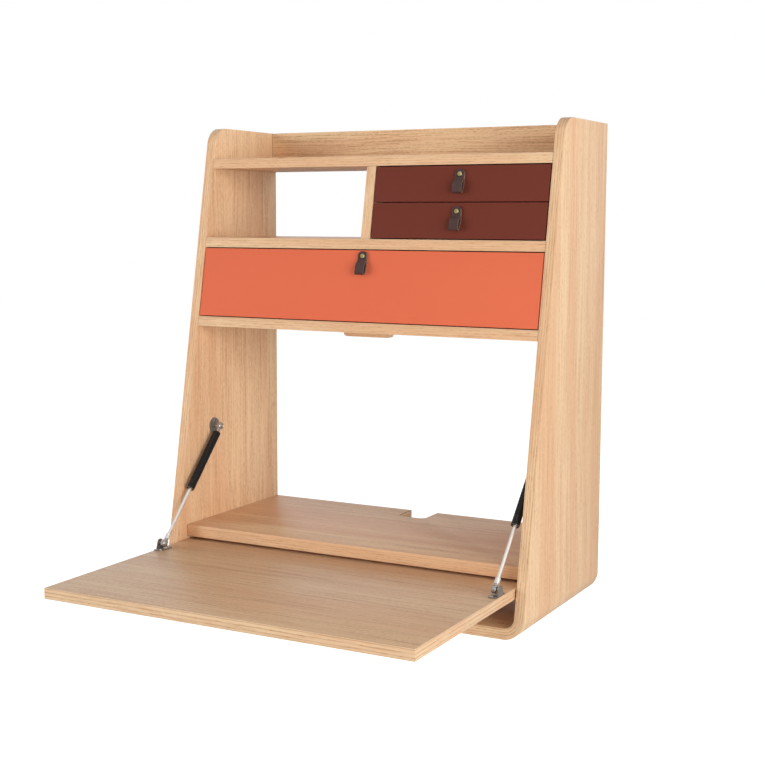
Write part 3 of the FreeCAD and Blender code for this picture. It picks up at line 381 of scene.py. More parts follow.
def shell_sections():
    """Sections from the top of the left side, round the U, to the top of the right side."""
    pairs = [((0, 0), (0, BOARD)), ((FLAT_HALF, 0), (FLAT_HALF, BOARD))]
    for angle in quarter_turn(16)[1:]:
        rays = [(radius * math.sin(angle), radius * math.cos(angle)) for radius in (BEND, BEND - BOARD)]
        pairs.append([(FLAT_HALF + out, BEND - down) for out, down in rays])
    tall = SHELL_HIGH.z - SHELL_LOW.z
    start = math.atan(LEAN)
    heights = [BEND + (tall - TOP_CORNER - BEND) * step / 8 for step in range(1, 8)]
    for step in range(17):
        angle = start + (math.pi / 2 - start) * step / 16
        heights.append(tall - TOP_CORNER + TOP_CORNER * math.sin(angle))
    pairs += [((SHELL_HIGH.x, height), (INNER, height)) for height in heights]
    half = []
    for (outer_x, outer_up), (inner_x, inner_up) in pairs:
        outer_z, inner_z = outer_up + SHELL_LOW.z, inner_up + SHELL_LOW.z
        outer = [(outer_x, 0, outer_z), (outer_x, shell_front(outer_z), outer_z)]
        half.append(outer + [(inner_x, shell_front(inner_z), inner_z), (inner_x, 0, inner_z)])
    mirrored = [[(-x, y, z) for x, y, z in section] for section in reversed(half[1:])]
    return mirrored + half


shell_data = to_data(round_arrises(loft(shell_sections()), SHELL_ARRIS))
lay_grain(shell_data, round_the_shell, 0)
piece("shell_bent_ply", shell_data, "bent_shell", OAK)

# Shelves, divider and rail --------------------
# Straight boards of the same oak-faced plywood, dowelled between the sides. Their front edges are
# cut to the slant of the shell and lie flush with it. The grain runs along each board.

X, Y, Z = 0, 1, 2
BOARD_ARRIS = 0.0007
SHELF_OAK = wood_material("shelf_oak", Ply_Contrast=0.25)
# The rail's oak is a paler copy of the shelf oak, painted light for the light that falls on the rail; its streaks
# and pores are stronger.
RAIL_PAINTED_LIGHT_HUES = {"Pale": (0.97, 0.70, 0.42, 1), "Warm": (0.93, 0.60, 0.35, 1)}
RAIL_OAK = wood_material("rail_oak", Streaks=1.3, Pores=1.2, **RAIL_PAINTED_LIGHT_HUES)


def upright_boards(outline, low, high, axis):
    """A board with an outline on the two other axes, from low to high along an axis."""
    sections = []
    for at in (low, high):
        section = [list(spot) for spot in outline]
        for spot in section:
            spot.insert(axis, at)
        sections.append(section)
    return loft(sections)


def oak_board(name, outline, axis, grain, shift, arris=BOARD_ARRIS, material=SHELF_OAK, jointed=True):
    """A board with an outline along an axis. Grain says which axes run along, across and into it."""
    low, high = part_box(name)
    data = to_data(round_arrises(upright_boards(outline, low[axis], high[axis], axis), arris))
    along, across, depth = grain
    lay_grain(data, lambda spot: (spot[along], spot[across], spot[depth] - low[depth]), shift, jointed)
    piece(name + "_oak", data, name, material)


def slanted_outline(name):
    """Side view of a board between the wall and the leaning front."""
    low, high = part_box(name)
    return [(0, low.z), (front(low.z), low.z), (front(high.z), high.z), (0, high.z)]


for shift, shelf in enumerate(("top_shelf", "middle_shelf", "drawer_shelf"), start=1):
    oak_board(shelf, slanted_outline(shelf), X, (X, Y, Z), shift)
oak_board("divider", slanted_outline("divider"), X, (Z, Y, X), 5)

low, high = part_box("back_rail")
rail_outline = [(low.y, low.z), (high.y, low.z), (high.y, high.z), (low.y, high.z)]
oak_board("back_rail", rail_outline, X, (X, Z, Y), 6, material=RAIL_OAK)

# Fixed work shelf -----------------------------
# A thicker board of the same plywood at desk height, behind the folding leaf. A notch with round
# corners is sawn in its rear edge for cables.

NOTCH_HALF, NOTCH_DEPTH, NOTCH_RADIUS = 0.028, 0.060, 0.012
WORK_ARRIS = 0.0009


def rounded_corner(side, reach, depth, radius):
    """A rounded corner on the left or right of an outline, from its upright to its level line."""
    return [
        (side * (reach - radius + radius * math.cos(turn)), depth + radius - radius * math.sin(turn))
        for turn in quarter_turn(8)
    ]


low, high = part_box("work_shelf")
notch_right, notch_left = (rounded_corner(side, NOTCH_HALF, -NOTCH_DEPTH, NOTCH_RADIUS) for side in (1, -1))
notch = [(NOTCH_HALF, 0), *notch_right, *notch_left[::-1], (-NOTCH_HALF, 0)]
work_outline = [(low.x, low.y), (high.x, low.y), (high.x, 0), *notch, (low.x, 0)]
oak_board("work_shelf", work_outline, Z, (X, Y, Z), 7, WORK_ARRIS)

# Block under the drawer shelf -----------------
# A small solid oak block, glued under the shelf behind its front edge, with its lower corners
# rounded.

BLOCK_RADIUS, BLOCK_ARRIS = 0.007, 0.0008
SOLID_OAK = wood_material("solid_oak", Ply_Thickness=0.05, Ply_Contrast=0.1)

low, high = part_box("under_shelf_block")
block_left, block_right = (rounded_corner(side, high.x, low.z, BLOCK_RADIUS) for side in (-1, 1))
block_outline = [(high.x, high.z), (low.x, high.z), *block_left, *block_right[::-1]]
oak_board("under_shelf_block", block_outline, Y, (X, Y, Z), 8, BLOCK_ARRIS, SOLID_OAK, False)

# Hidden boards --------------------------------
# The hanging rail that the wall screws go through, the dowels and the wooden drawer runners are
# plain beech. The panel behind the small drawers is thin birch plywood, like the drawer boxes.


def cad_wood(name, along, across, depth, pale, warm, dark, ply, pores):
    """Wood for a CAD node: the grain follows its place, and the plies show where it is cut."""
    material, tree, shader = new_material(name, Specular_IOR_Level=0.3)
    axes = split(tree, node(tree, "ShaderNodeTexCoord", {}).outputs["Object"])
    faces = split(tree, node(tree, "ShaderNodeNewGeometry", {}).outputs["True Normal"])
    edge = math_node(tree, "SUBTRACT", 1.0, math_node(tree, "ABSOLUTE", faces[depth]), clamp=True)
    inputs = {
        "Grain": combine(tree, axes[along], axes[across], axes[depth]),
        "Cut": combine(tree, 0.0, edge, 0.0),
        "Pale": pale, "Warm": warm, "Dark": dark, "Ply Thickness": ply, "Ply Contrast": 0.6, "Pores": pores,
    }
    dress(tree, shader, WOOD, inputs, 0.2, WOOD_RELIEF)
    return material


def dress_nodes(material, *names):
    """Gives carried-over CAD nodes their material."""
    for name in names:
        data = frame["nodes"][name].data
        data.materials.clear()
        data.materials.append(material)


BEECH = (0.78, 0.53, 0.34, 1), (0.66, 0.40, 0.24, 1), (0.60, 0.36, 0.22, 1)
BIRCH = (0.86, 0.66, 0.44, 1), (0.74, 0.52, 0.32, 1), (0.50, 0.31, 0.18, 1)
dress_nodes(cad_wood("beech_along_x", X, Z, Y, *BEECH, 0.2, 0.5), "hanging_rail", "dowels")
dress_nodes(cad_wood("beech_along_y", Y, Z, X, *BEECH, 0.2, 0.5), "lower_runners", "upper_runners")
dress_nodes(cad_wood("birch_panel", X, Z, Y, *BIRCH, 0.0013, 0.1), "drawer_bay_back")

# Folding leaf ---------------------------------
# The work surface: a flat oak-veneered board with oak lippings on its edges, seen as pale and dark
# lines. It turns on two pins near its rear edge and closes upwards, flush in the leaning front.

LEAF_THICKNESS, LEAF_ARRIS = 0.019, 0.0011
LEAF_HUES = {"Pale": (0.85, 0.60, 0.37, 1), "Warm": (0.83, 0.545, 0.33, 1)}
LIPPED_OAK = wood_material(
    "lipped_oak", Board=LEAF_THICKNESS, Ply_Thickness=0.0031, Ply_Contrast=0.5, **LEAF_HUES
)

low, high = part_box("leaf")
leaf_outline = [(low.x, low.y), (high.x, low.y), (high.x, high.y), (low.x, high.y)]
oak_board("leaf", leaf_outline, Z, (X, Y, Z), 9, LEAF_ARRIS, LIPPED_OAK, False)

# Pivots of the leaf ---------------------------
# A steel pin stands out of each side and turns in a flanged black nylon bush, pressed into the end
# of the leaf.


def make_finish_group():
    """A plain finish with faint cloudiness, fine marks and a small relief."""
    inputs = {
        "Place": "Vector", "Color": (0.5, 0.5, 0.5, 1), "Variation": 0.08, "Cloud Scale": 12.0,
        "Mark Scale": (900.0, 900.0, 900.0), "Roughness": 0.4, "Roughness Variation": 0.1,
    }
    group, given, result = new_group("worked_surface", "ShaderNodeTree", inputs, SURFACE)
    marks = stretched_noise(group, given["Place"], given["Mark Scale"], 3.0)
    clouds = noise(group, given["Place"], given["Cloud Scale"])
    both = math_node(group, "ADD", times(group, clouds, 0.6), times(group, marks, 0.4))
    off_middle = math_node(group, "SUBTRACT", both, 0.5)
    gain = weigh(group, off_middle, given["Variation"], 1.0)
    grey = node(group, "ShaderNodeCombineColor", {0: gain, 1: gain, 2: gain}).outputs[0]
    colour = mix_colours(group, 1.0, given["Color"], grey, "MULTIPLY")
    rough = weigh(group, off_middle, given["Roughness Variation"], given["Roughness"])
    feed(group, result, {"Color": colour, "Roughness": rough, "Height": marks})
    return group


FINISH = make_finish_group()
FINISH_RELIEF = 0.0002


def finish_material(
    name, colour, marks, rough, strength, variation=0.1, rough_change=0.15, bare=None, **constants
):
    """A painted, moulded or metal surface on the piece's own coordinates. Where the attribute bare
    is set, the paint is worn through to bright metal."""
    material, tree, shader = new_material(name, **constants)
    if bare:
        worn = attribute(tree, "bare")
        tree.links.new(worn, shader["Metallic"])
        colour = mix_colours(tree, worn, colour, bare)
    inputs = {
        "Place": node(tree, "ShaderNodeTexCoord", {}).outputs["Object"], "Mark Scale": marks, "Color": colour,
        "Variation": variation, "Roughness": rough, "Roughness Variation": rough_change,
    }
    dress(tree, shader, FINISH, inputs, strength, FINISH_RELIEF)
    return material


BRUSHED, EVEN = (300, 3000, 3000), (1500, 1500, 1500)
NICKEL, NYLON_BLACK = (0.50, 0.47, 0.44, 1), (0.022, 0.022, 0.024, 1)
SATIN_STEEL = finish_material("satin_steel", NICKEL, BRUSHED, 0.32, 0.05, 0.25, 0.3, Metallic=1.0)
dress_nodes(SATIN_STEEL, "pivot_pins")
dress_nodes(finish_material("black_nylon", NYLON_BLACK, EVEN, 0.5, 0.12), "pivot_bushes")

# Strut plates and brackets --------------------
# Each strut hangs from a round steel plate on the side, and stands on a small steel bracket with
# a tapered ear, screwed to the leaf. The steel is stamped and satin nickel-plated.

SIDES = ("left", -1), ("right", 1)
FOOT_RADIUS, STEEL, STEEL_ARRIS = 0.006, 0.002, 0.0004
EAR_BASE, EAR_TOP, EAR_RADIUS, EAR_SUNK, EAR_CLEAR = 0.011, 0.0055, 0.005, 0.0006, 0.00002
STAMPED, STAMPED_MARKS = (0.30, 0.265, 0.235, 1), (700, 2600, 700)
BRACKET_STEEL = finish_material("bracket_steel", STAMPED, STAMPED_MARKS, 0.34, 0.04, 0.2, 0.2, Metallic=0.75)


def together(*meshes):
    """Several solids in one mesh."""
    whole = bmesh.new()
    for mesh in meshes:
        data = to_data(mesh)
        whole.from_mesh(data)
        bpy.data.meshes.remove(data)
    return whole


def rounded(points, radii, steps=6):
    """An outline whose corners are rounded, each by its own radius."""
    line = []
    for k, (point, radius) in enumerate(zip(points, radii)):
        here = Vector(point)
        back = (Vector(points[k - 1]) - here).normalized()
        on = (Vector(points[(k + 1) % len(points)]) - here).normalized()
        if radius == 0:
            line.append(tuple(here))
            continue
        half = back.angle(on) / 2
        centre = here + (back + on).normalized() * (radius / math.sin(half))
        start = here + back * (radius / math.tan(half)) - centre
        end = here + on * (radius / math.tan(half)) - centre
        sweep = start.angle_signed(end)
        for step in range(steps + 1):
            line.append(tuple(centre + Matrix.Rotation(-sweep * step / steps, 2) @ start))
    return line


for side, sign in SIDES:
    low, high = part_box(f"bracket_{side}")
    middle, ground = (low.y + high.y) / 2, low.z
    outer, inner = (high.x, low.x) if sign > 0 else (low.x, high.x)
    corners = [(outer, low.y), (outer, high.y), (inner, high.y), (inner, low.y)]
    foot = rounded(corners, [0, 0, FOOT_RADIUS, FOOT_RADIUS])
    root, tip = ground + EAR_SUNK, high.z
    corners = [
        (middle - EAR_BASE, root), (middle - EAR_TOP, tip), (middle + EAR_TOP, tip), (middle + EAR_BASE, root)
    ]
    ear = rounded(corners, [0, EAR_RADIUS, EAR_RADIUS, 0])
    ear_span = sorted((outer - sign * STEEL, outer - sign * EAR_CLEAR))
    plate = round_arrises(upright_boards(foot, ground, ground + STEEL, Z), STEEL_ARRIS, 2)
    lug = round_arrises(upright_boards(ear, *ear_span, X), STEEL_ARRIS, 2)
    piece(f"bracket_{side}_stamped", to_data(together(plate, lug)), f"bracket_{side}", BRACKET_STEEL)
    dress_nodes(SATIN_STEEL, f"lower_ball_stud_{side}", f"upper_ball_stud_{side}")

dress_nodes(BRACKET_STEEL, "strut_plates")

# Screws of the strut fittings -----------------
# Eight small domed wood screws with cross recesses, nickel-plated: two through each bracket into
# the leaf, and two through each plate into the side.


def shape(tree, kind, inputs, **settings):
    """The first output of a Geometry Nodes node."""
    return node(tree, "GeometryNode" + kind, inputs, **settings).outputs[0]


def join(tree, *parts):
    """Several geometries in one."""
    whole = node(tree, "GeometryNodeJoinGeometry", {})
    for part in parts:
        tree.links.new(part, whole.inputs[0])
    return whole.outputs[0]


def finish_tree(tree, result, geometry, material):
    """Ends a tree: instances made real, and the material set."""
    real = shape(tree, "RealizeInstances", {0: geometry})
    feed(tree, result, {"Geometry": shape(tree, "SetMaterial", {"Geometry": real, "Material": material})})


def grow(tree, points, values, edges=(), axes=()):
    """Runs a tree on a few points, and gives back the plain mesh that it makes."""
    data = bpy.data.meshes.new("points")
    data.from_pydata([tuple(point) for point in points], list(edges), [])
    if axes:
        facings = data.attributes.new("axis", "FLOAT_VECTOR", "POINT")
        for facing, axis in zip(facings.data, axes):
            facing.vector = axis
    holder = put("points", data)
    modifier = holder.modifiers.new("tree", "NODES")
    modifier.node_group = tree
    for item in tree.interface.items_tree:
        if item.in_out == "INPUT" and item.name in values:
            modifier[item.identifier] = values[item.name]
    graph = bpy.context.evaluated_depsgraph_get()
    made = bpy.data.meshes.new_from_object(holder.evaluated_get(graph))
    holder.modifiers.remove(modifier)
    bpy.data.objects.remove(holder)
    bpy.data.meshes.remove(data)
    return made


def make_screw_tree():
    """Domed screws with a cross recess, one on each point and turned to the point's axis."""
    inputs = {
        "Geometry": "Geometry", "Head Radius": 0.0035, "Head Height": 0.0017, "Shank Radius": 0.00175,
        "Shank Length": 0.012, "Recess Length": 0.0034, "Recess Width": 0.0007, "Recess Depth": 0.0009,
        "Seed": 3, "Material": "Material",
    }
    tree, given, result = new_group("domed_screws", "GeometryNodeTree", inputs, {"Geometry": "Geometry"})
    squash = math_node(tree, "DIVIDE", given["Head Height"], given["Head Radius"])
    dome = shape(tree, "MeshUVSphere", {"Segments": 28, "Rings": 16, "Radius": given["Head Radius"]})
    dome = shape(tree, "Transform", {"Geometry": dome, "Scale": combine(tree, 1.0, 1.0, squash)})
    below = shape(tree, "MeshCube", {"Size": (0.03, 0.03, 0.01)})
    cutters = [shape(tree, "Transform", {"Geometry": below, "Translation": (0, 0, -0.005)})]
    length, width = given["Recess Length"], given["Recess Width"]
    deep = times(tree, given["Recess Depth"], 2.0)
    top = combine(tree, 0.0, 0.0, given["Head Height"])
    for size in ((length, width, deep), (width, length, deep)):
        slot = shape(tree, "MeshCube", {"Size": combine(tree, *size)})
        cutters.append(shape(tree, "Transform", {"Geometry": slot, "Translation": top}))
    head = node(tree, "GeometryNodeMeshBoolean", {"Mesh 1": dome}, operation="DIFFERENCE")
    for cutter in cutters:
        tree.links.new(cutter, head.inputs["Mesh 2"])

    inputs = {"Vertices": 20, "Radius": given["Shank Radius"], "Depth": given["Shank Length"]}
    down = combine(tree, 0.0, 0.0, times(tree, given["Shank Length"], -0.5))
    shank = shape(tree, "Transform", {"Geometry": shape(tree, "MeshCylinder", inputs), "Translation": down})
    screw = join(tree, head.outputs["Mesh"], shank)

    axis = shape(tree, "InputNamedAttribute", {"Name": "axis"}, data_type="FLOAT_VECTOR")
    facing = node(tree, "FunctionNodeAlignRotationToVector", {"Vector": axis}, axis="Z").outputs[0]
    inputs = {"Points": given["Geometry"], "Instance": screw, "Rotation": facing}
    placed = shape(tree, "InstanceOnPoints", inputs)
    inputs = {2: 0.0, 3: math.pi, "Seed": given["Seed"]}
    spin = node(tree, "FunctionNodeRandomValue", inputs, data_type="FLOAT").outputs[1]
    inputs = {"Instances": placed, "Rotation": combine(tree, 0.0, 0.0, spin)}
    finish_tree(tree, result, shape(tree, "RotateInstances", inputs), given["Material"])
    return tree


SCREWS = make_screw_tree()
SCREW_NICKEL = (0.46, 0.43, 0.40, 1)
SCREW_STEEL = finish_material("screw_steel", SCREW_NICKEL, EVEN, 0.28, 0.05, 0.25, 0.25, Metallic=1.0)
SCREW_REACH, PLATE_SCREW_RISE, PLATE_THICK, SINK, LOW_HEAD = 0.0125, 0.0095, 0.0025, 0.0016, 0.0014

JOINT_AT = {joint["name"]: joint for joint in frame["joints"]}
low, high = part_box("strut_plates")
PLATE_Y, PLATE_Z = (low.y + high.y) / 2, (low.z + high.z) / 2

bracket_points, plate_points, plate_axes = [], [], []
for side, sign in SIDES:
    ball = Vector(JOINT_AT[f"{side}_strut_swing"]["pos_m"])
    top_of_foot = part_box(f"bracket_{side}")[0].z + STEEL
    bracket_points += [(ball.x, ball.y + reach, top_of_foot) for reach in (-SCREW_REACH, SCREW_REACH)]
    seat = sign * (INNER - PLATE_THICK + SINK)
    plate_points += [(seat, PLATE_Y, PLATE_Z + rise) for rise in (-PLATE_SCREW_RISE, PLATE_SCREW_RISE)]
    plate_axes += [(-sign, 0, 0)] * 2

values = {"Material": SCREW_STEEL}
data = grow(SCREWS, bracket_points, values, axes=[(0, 0, 1)] * 4)
piece("bracket_screws_domed", data, "bracket_screws", SCREW_STEEL)
values = {"Head Height": LOW_HEAD, "Seed": 8, "Material": SCREW_STEEL}
data = grow(SCREWS, plate_points, values, axes=plate_axes)
piece("plate_screws_domed", data, "plate_screws", SCREW_STEEL)

# Strut tubes ----------------------------------
# A steel tube painted satin black and closed at its upper end, with a turned collar of the same
# black fixed to its lower end. The collar's rolled edges are rubbed to the bare metal.

BLACK, BARE_STEEL, PAINT_MARKS = (0.006, 0.006, 0.0065, 1), (0.8, 0.78, 0.75, 1), (1200, 1200, 1200)
BLACK_PAINT = finish_material(
    "black_paint", BLACK, PAINT_MARKS, 0.24, 0.06, 0.2, 0.2, BARE_STEEL, Specular_IOR_Level=0.3
)
TUBE, BORE, ROD, COLLAR, TUBE_END, HEAD_GAP = 0.0075, 0.006, 0.003, 0.020, 0.003, 0.0155
ROLL, TUBE_CUT, COLLAR_CUT, ROD_PLAY = 0.001, 0.0009, 0.0008, 0.00008
RUBBED = 0.5, 0.85
MERGE = 1e-7


def turn(profile, centre, axis, sides=48, ring=False):
    """A turned solid: radius and height pairs swung round an axis. A ring's profile is closed."""
    mesh = bmesh.new()
    facing = Vector(axis).to_track_quat("Z", "Y").to_matrix()
    rows = []
    for radius, height in profile:
        row = []
        for k in range(sides):
            angle = 2 * math.pi * k / sides
            spot = Vector((radius * math.cos(angle), radius * math.sin(angle), height))
            row.append(mesh.verts.new(centre + facing @ spot))
        rows.append(row)
    for row, following in list(zip(rows, rows[1:])) + ([(rows[-1], rows[0])] if ring else []):
        for k in range(sides):
            mesh.faces.new((row[k - 1], row[k], following[k], following[k - 1]))
    bmesh.ops.remove_doubles(mesh, verts=mesh.verts, dist=MERGE)
    bmesh.ops.recalc_face_normals(mesh, faces=mesh.faces)
    return mesh


def rolled_edge(end, inward):
    """Half section of a rounded outer edge of the tube or collar, from its side to its end."""
    return [
        (TUBE - ROLL + ROLL * math.cos(angle), end + inward * (ROLL - ROLL * math.sin(angle)))
        for angle in quarter_turn(5)
    ]


def rub_edges(data, axis):
    """Marks the rolled edges of a turned piece, where the paint is rubbed to the metal."""
    bare = data.attributes.new("bare", "FLOAT", "FACE")
    for spot, face in zip(bare.data, data.polygons):
        spot.value = 1 if RUBBED[0] < abs(face.normal.dot(axis)) < RUBBED[1] else 0


STRUTS = {}
for side, sign in SIDES:
    foot = Vector(JOINT_AT[f"{side}_strut_swing"]["pos_m"])
    head = Vector((foot.x, PLATE_Y, PLATE_Z))
    up = -Vector(JOINT_AT[f"{side}_strut_slide"]["axis"]).normalized()
    collar_low, collar_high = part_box(f"tube_collar_{side}")
    middle = ((collar_low + collar_high) / 2 - foot).dot(up)
    STRUTS[side] = foot, head, up, middle - COLLAR / 2

for side, (foot, head, up, collar_start) in STRUTS.items():
    low, high = collar_start + COLLAR, (head - foot).length - HEAD_GAP
    tube = [(0, high), (TUBE - TUBE_CUT, high), (TUBE, high - TUBE_CUT), *rolled_edge(low, 1)]
    tube += [(BORE, low), (BORE, high - TUBE_END), (0, high - TUBE_END)]
    piece(f"strut_tube_{side}_painted", to_data(turn(tube, foot, up)), f"strut_tube_{side}", BLACK_PAINT)
    low, high = collar_start, collar_start + COLLAR
    gap = ROD + ROD_PLAY
    collar = [(gap, low + COLLAR_CUT), (gap + COLLAR_CUT, low), *rolled_edge(low, 1)[::-1]]
    collar += [*rolled_edge(high, -1), (gap, high)]
    data = to_data(turn(collar, foot, up, ring=True))
    rub_edges(data, up)
    piece(f"tube_collar_{side}_turned", data, f"tube_collar_{side}", BLACK_PAINT)

# Strut rods and sockets -----------------------
# Bright chromed steel. The rod slides in the collar and screws into a knurled nut on the lower
# socket. Each socket is a rounded cup that snaps over its ball stud from the inner side.

CHROMED, CHROME_MARKS = (0.50, 0.46, 0.43, 1), (400, 400, 400)
POLISHED, ROD_MARKS = (0.90, 0.87, 0.83, 1), (2500, 2500, 400)
CHROME = finish_material("chrome", CHROMED, CHROME_MARKS, 0.20, 0.0, 0.06, 0.06, Metallic=0.9)
ROD_STEEL = finish_material("polished_rod", POLISHED, ROD_MARKS, 0.32, 0.0, 0.03, 0.02, Metallic=1.0)
dress_nodes(ROD_STEEL, "strut_rod_left", "strut_rod_right")

CUP, INBOARD, OUTBOARD, SEAT, MOUTH = 0.0072, 0.005, 0.004, 0.00405, 0.0037
CUP_ROLL, CUP_FLANK, RIM_ROLL, MOUTH_CUT = 0.0022, 0.0030, 0.001, 0.0003
CUP_POLE = [(0, 0), (0.0014, 0.0001), (0.0026, 0.0005), (0.0035, 0.0011)]
CUP_GROOVE = [(0.0039, 0.0018), (0.0045, 0.0018), (0.0047, 0.0011)]
NECK, NECK_START, NECK_TAPER, NECK_LENGTH, NECK_CUT = 0.0036, 0.0052, 0.0080, 0.009, 0.0004
NUT_END, NUT_START_GAP, NUT_END_GAP, CORE_GAP = 0.020, 0.0002, 0.0012, 0.0002


def cup_profile():
    """Half section of a socket, from the inner pole round the rim and into the ball's seat."""
    line = [(radius, sunk - INBOARD) for radius, sunk in CUP_POLE + CUP_GROOVE]
    for angle in quarter_turn(6):
        height = -INBOARD + CUP_FLANK - CUP_ROLL * math.cos(angle)
        line.append((CUP - CUP_ROLL + CUP_ROLL * math.sin(angle), height))
    for angle in quarter_turn(4):
        height = OUTBOARD - RIM_ROLL + RIM_ROLL * math.sin(angle)
        line.append((CUP - RIM_ROLL + RIM_ROLL * math.cos(angle), height))
    line += [(MOUTH + MOUTH_CUT, OUTBOARD), (MOUTH, OUTBOARD - MOUTH_CUT)]
    opening = math.acos(MOUTH / SEAT)
    for step in range(10):
        angle = opening - (opening + math.pi / 2) * step / 10
        line.append((SEAT * math.cos(angle), SEAT * math.sin(angle)))
    return [*line, (0, -SEAT)]


for side, (foot, head, up, collar_start) in STRUTS.items():
    outward = Vector((math.copysign(1, foot.x), 0, 0))
    for label, centre, along, end in (("lower", foot, up, NECK_LENGTH), ("upper", head, -up, HEAD_GAP)):
        neck = [(0, NECK_START), (NECK + NECK_CUT, NECK_START), (NECK, NECK_TAPER)]
        neck += [(NECK, end - NECK_CUT), (NECK - NECK_CUT, end), (0, end)]
        cup = together(turn(cup_profile(), centre, outward, 40), turn(neck, centre, along, 32))
        piece(f"{label}_socket_{side}_chromed", to_data(cup), f"{label}_socket_{side}", CHROME)


def make_knurl_tree():
    """A nut of toothed discs strung along a line, round a smooth core."""
    inputs = {
        "Geometry": "Geometry", "Outer Radius": 0.0045, "Tooth Depth": 0.0004, "Teeth": 24, "Discs": 7,
        "Disc Length": 0.0009, "Material": "Material",
    }
    tree, given, result = new_group("knurled_nut", "GeometryNodeTree", inputs, {"Geometry": "Geometry"})
    line = shape(tree, "MeshToCurve", {"Mesh": given["Geometry"]})
    inside = math_node(tree, "SUBTRACT", given["Outer Radius"], given["Tooth Depth"])
    inputs = {"Points": given["Teeth"], "Inner Radius": inside, "Outer Radius": given["Outer Radius"]}
    face = shape(tree, "FillCurve", {"Curve": shape(tree, "CurveStar", inputs)}, mode="NGONS")
    inputs = {"Mesh": face, "Offset": (0, 0, 1), "Offset Scale": given["Disc Length"], "Individual": False}
    raised = shape(tree, "ExtrudeMesh", inputs, mode="FACES")
    disc = join(tree, raised, shape(tree, "FlipFaces", {0: face}))
    disc = shape(tree, "MergeByDistance", {"Geometry": disc, "Distance": 1e-6})
    spots = node(tree, "GeometryNodeCurveToPoints", {"Curve": line, "Count": given["Discs"]}).outputs
    inputs = {"Points": spots[0], "Instance": disc, "Rotation": spots["Rotation"]}
    discs = shape(tree, "InstanceOnPoints", inputs)
    core_radius = math_node(tree, "SUBTRACT", inside, CORE_GAP)
    circle = shape(tree, "CurvePrimitiveCircle", {"Resolution": 32, "Radius": core_radius})
    core = shape(tree, "CurveToMesh", {"Curve": line, "Profile Curve": circle, "Fill Caps": True})
    finish_tree(tree, result, join(tree, discs, core), given["Material"])
    return tree


KNURL = make_knurl_tree()
for side, (foot, head, up, collar_start) in STRUTS.items():
    ends = [foot + up * (NECK_LENGTH + NUT_START_GAP), foot + up * (NUT_END - NUT_END_GAP)]
    data = grow(KNURL, ends, {"Material": ROD_STEEL}, edges=[(0, 1)])
    piece(f"rod_nut_{side}_knurled", data, f"rod_nut_{side}", ROD_STEEL)

# Drawer fronts --------------------------------
# Flat boards lacquered on all sides, matt orange on the wide drawer and dark red on the two small
# ones. They lie flush in the slanted front with a narrow gap all round.

LACQUER_MARKS = (1400, 1400, 1400)


def lacquer(name, colour):
    return finish_material(name, colour, LACQUER_MARKS, 0.55, 0.05, 0.04, 0.1, Specular_IOR_Level=0.2)


ORANGE = lacquer("orange_lacquer", (0.79, 0.168, 0.081, 1))
DARK_RED = lacquer("dark_red_lacquer", (0.160, 0.034, 0.0205, 1))
FRONT_COLOURS = {"wide": ORANGE, "lower": DARK_RED, "upper": DARK_RED}
FRONT_THICKNESS, FRONT_ARRIS = 0.016, 0.0003
PLANED_OFF, PLANED_ENDS = 0.0004, 0.0010
PLANED = {"wide": (PLANED_OFF, PLANED_OFF), "lower": (PLANED_OFF, 0), "upper": (0, PLANED_OFF)}

for drawer, colour in FRONT_COLOURS.items():
    low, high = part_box(f"{drawer}_front")
    bottom, top = low.z + PLANED[drawer][0], high.z - PLANED[drawer][1]
    outline = [(front(bottom), bottom), (front(top), top)]
    outline += [(front(top) + FRONT_THICKNESS, top), (front(bottom) + FRONT_THICKNESS, bottom)]
    panel = upright_boards(outline, low.x + PLANED_ENDS, high.x - PLANED_ENDS, X)
    data = to_data(round_arrises(panel, FRONT_ARRIS))
    piece(f"{drawer}_front_lacquered", data, f"{drawer}_front", colour)

# Drawer boxes and runners ---------------------
# Birch plywood boxes behind the fronts. The wide one runs on zinc-plated steel channels, the small
# ones on wooden strips in grooves in their sides.

birch_sides = cad_wood("birch_sides", Y, Z, X, *BIRCH, 0.0014, 0.1)
birch_backs = cad_wood("birch_backs", X, Z, Y, *BIRCH, 0.0014, 0.1)
birch_bottoms = cad_wood("birch_bottoms", X, Y, Z, *BIRCH, 0.0012, 0.1)
for drawer in FRONT_COLOURS:
    dress_nodes(birch_sides, f"{drawer}_left_side", f"{drawer}_right_side")
    dress_nodes(birch_backs, f"{drawer}_back")
    dress_nodes(birch_bottoms, f"{drawer}_bottom")

ZINC_GREY, ZINC_MARKS = (0.55, 0.57, 0.60, 1), (250, 60, 900)
ZINC = finish_material("zinc_plate", ZINC_GREY, ZINC_MARKS, 0.34, 0.05, 0.3, 0.3, Metallic=1.0)
dress_nodes(ZINC, "wide_cabinet_runners", "wide_drawer_runners")

# Leather pulls --------------------------------
# A strap of dark brown leather, folded in two round a flat fold at its lower end and rounded at its
# top ends. The front half bows out for the fingers. A brass screw goes through both halves.

STRAP_HALF, LEATHER, ARCH, TIP_HALF, SOFT = 0.0087, 0.0022, 0.0082, 0.0009, 0.00045
# The ring of painted shade round each screw head lies on a thin disc in the strap.
SHADOW_RING, SHADOW_RING_SUNK, SHADOW_RING_PROUD = 0.0056, 0.0003, 0.0001
RAW_FACING, FLAT_FACING = 0.75, 0.3
SCREW_DROP = {"wide": 0.011, "lower": 0.0155, "upper": 0.0155}
DYED = (0.048, 0.024, 0.021, 1), (0.090, 0.050, 0.046, 1)
CUT_LEATHER = (0.20, 0.11, 0.07, 1), (0.36, 0.22, 0.14, 1)
# Painted shade, near black, for the ring round each screw head.
PAINTED_SCREW_SHADOW = (0.012, 0.008, 0.007, 1)

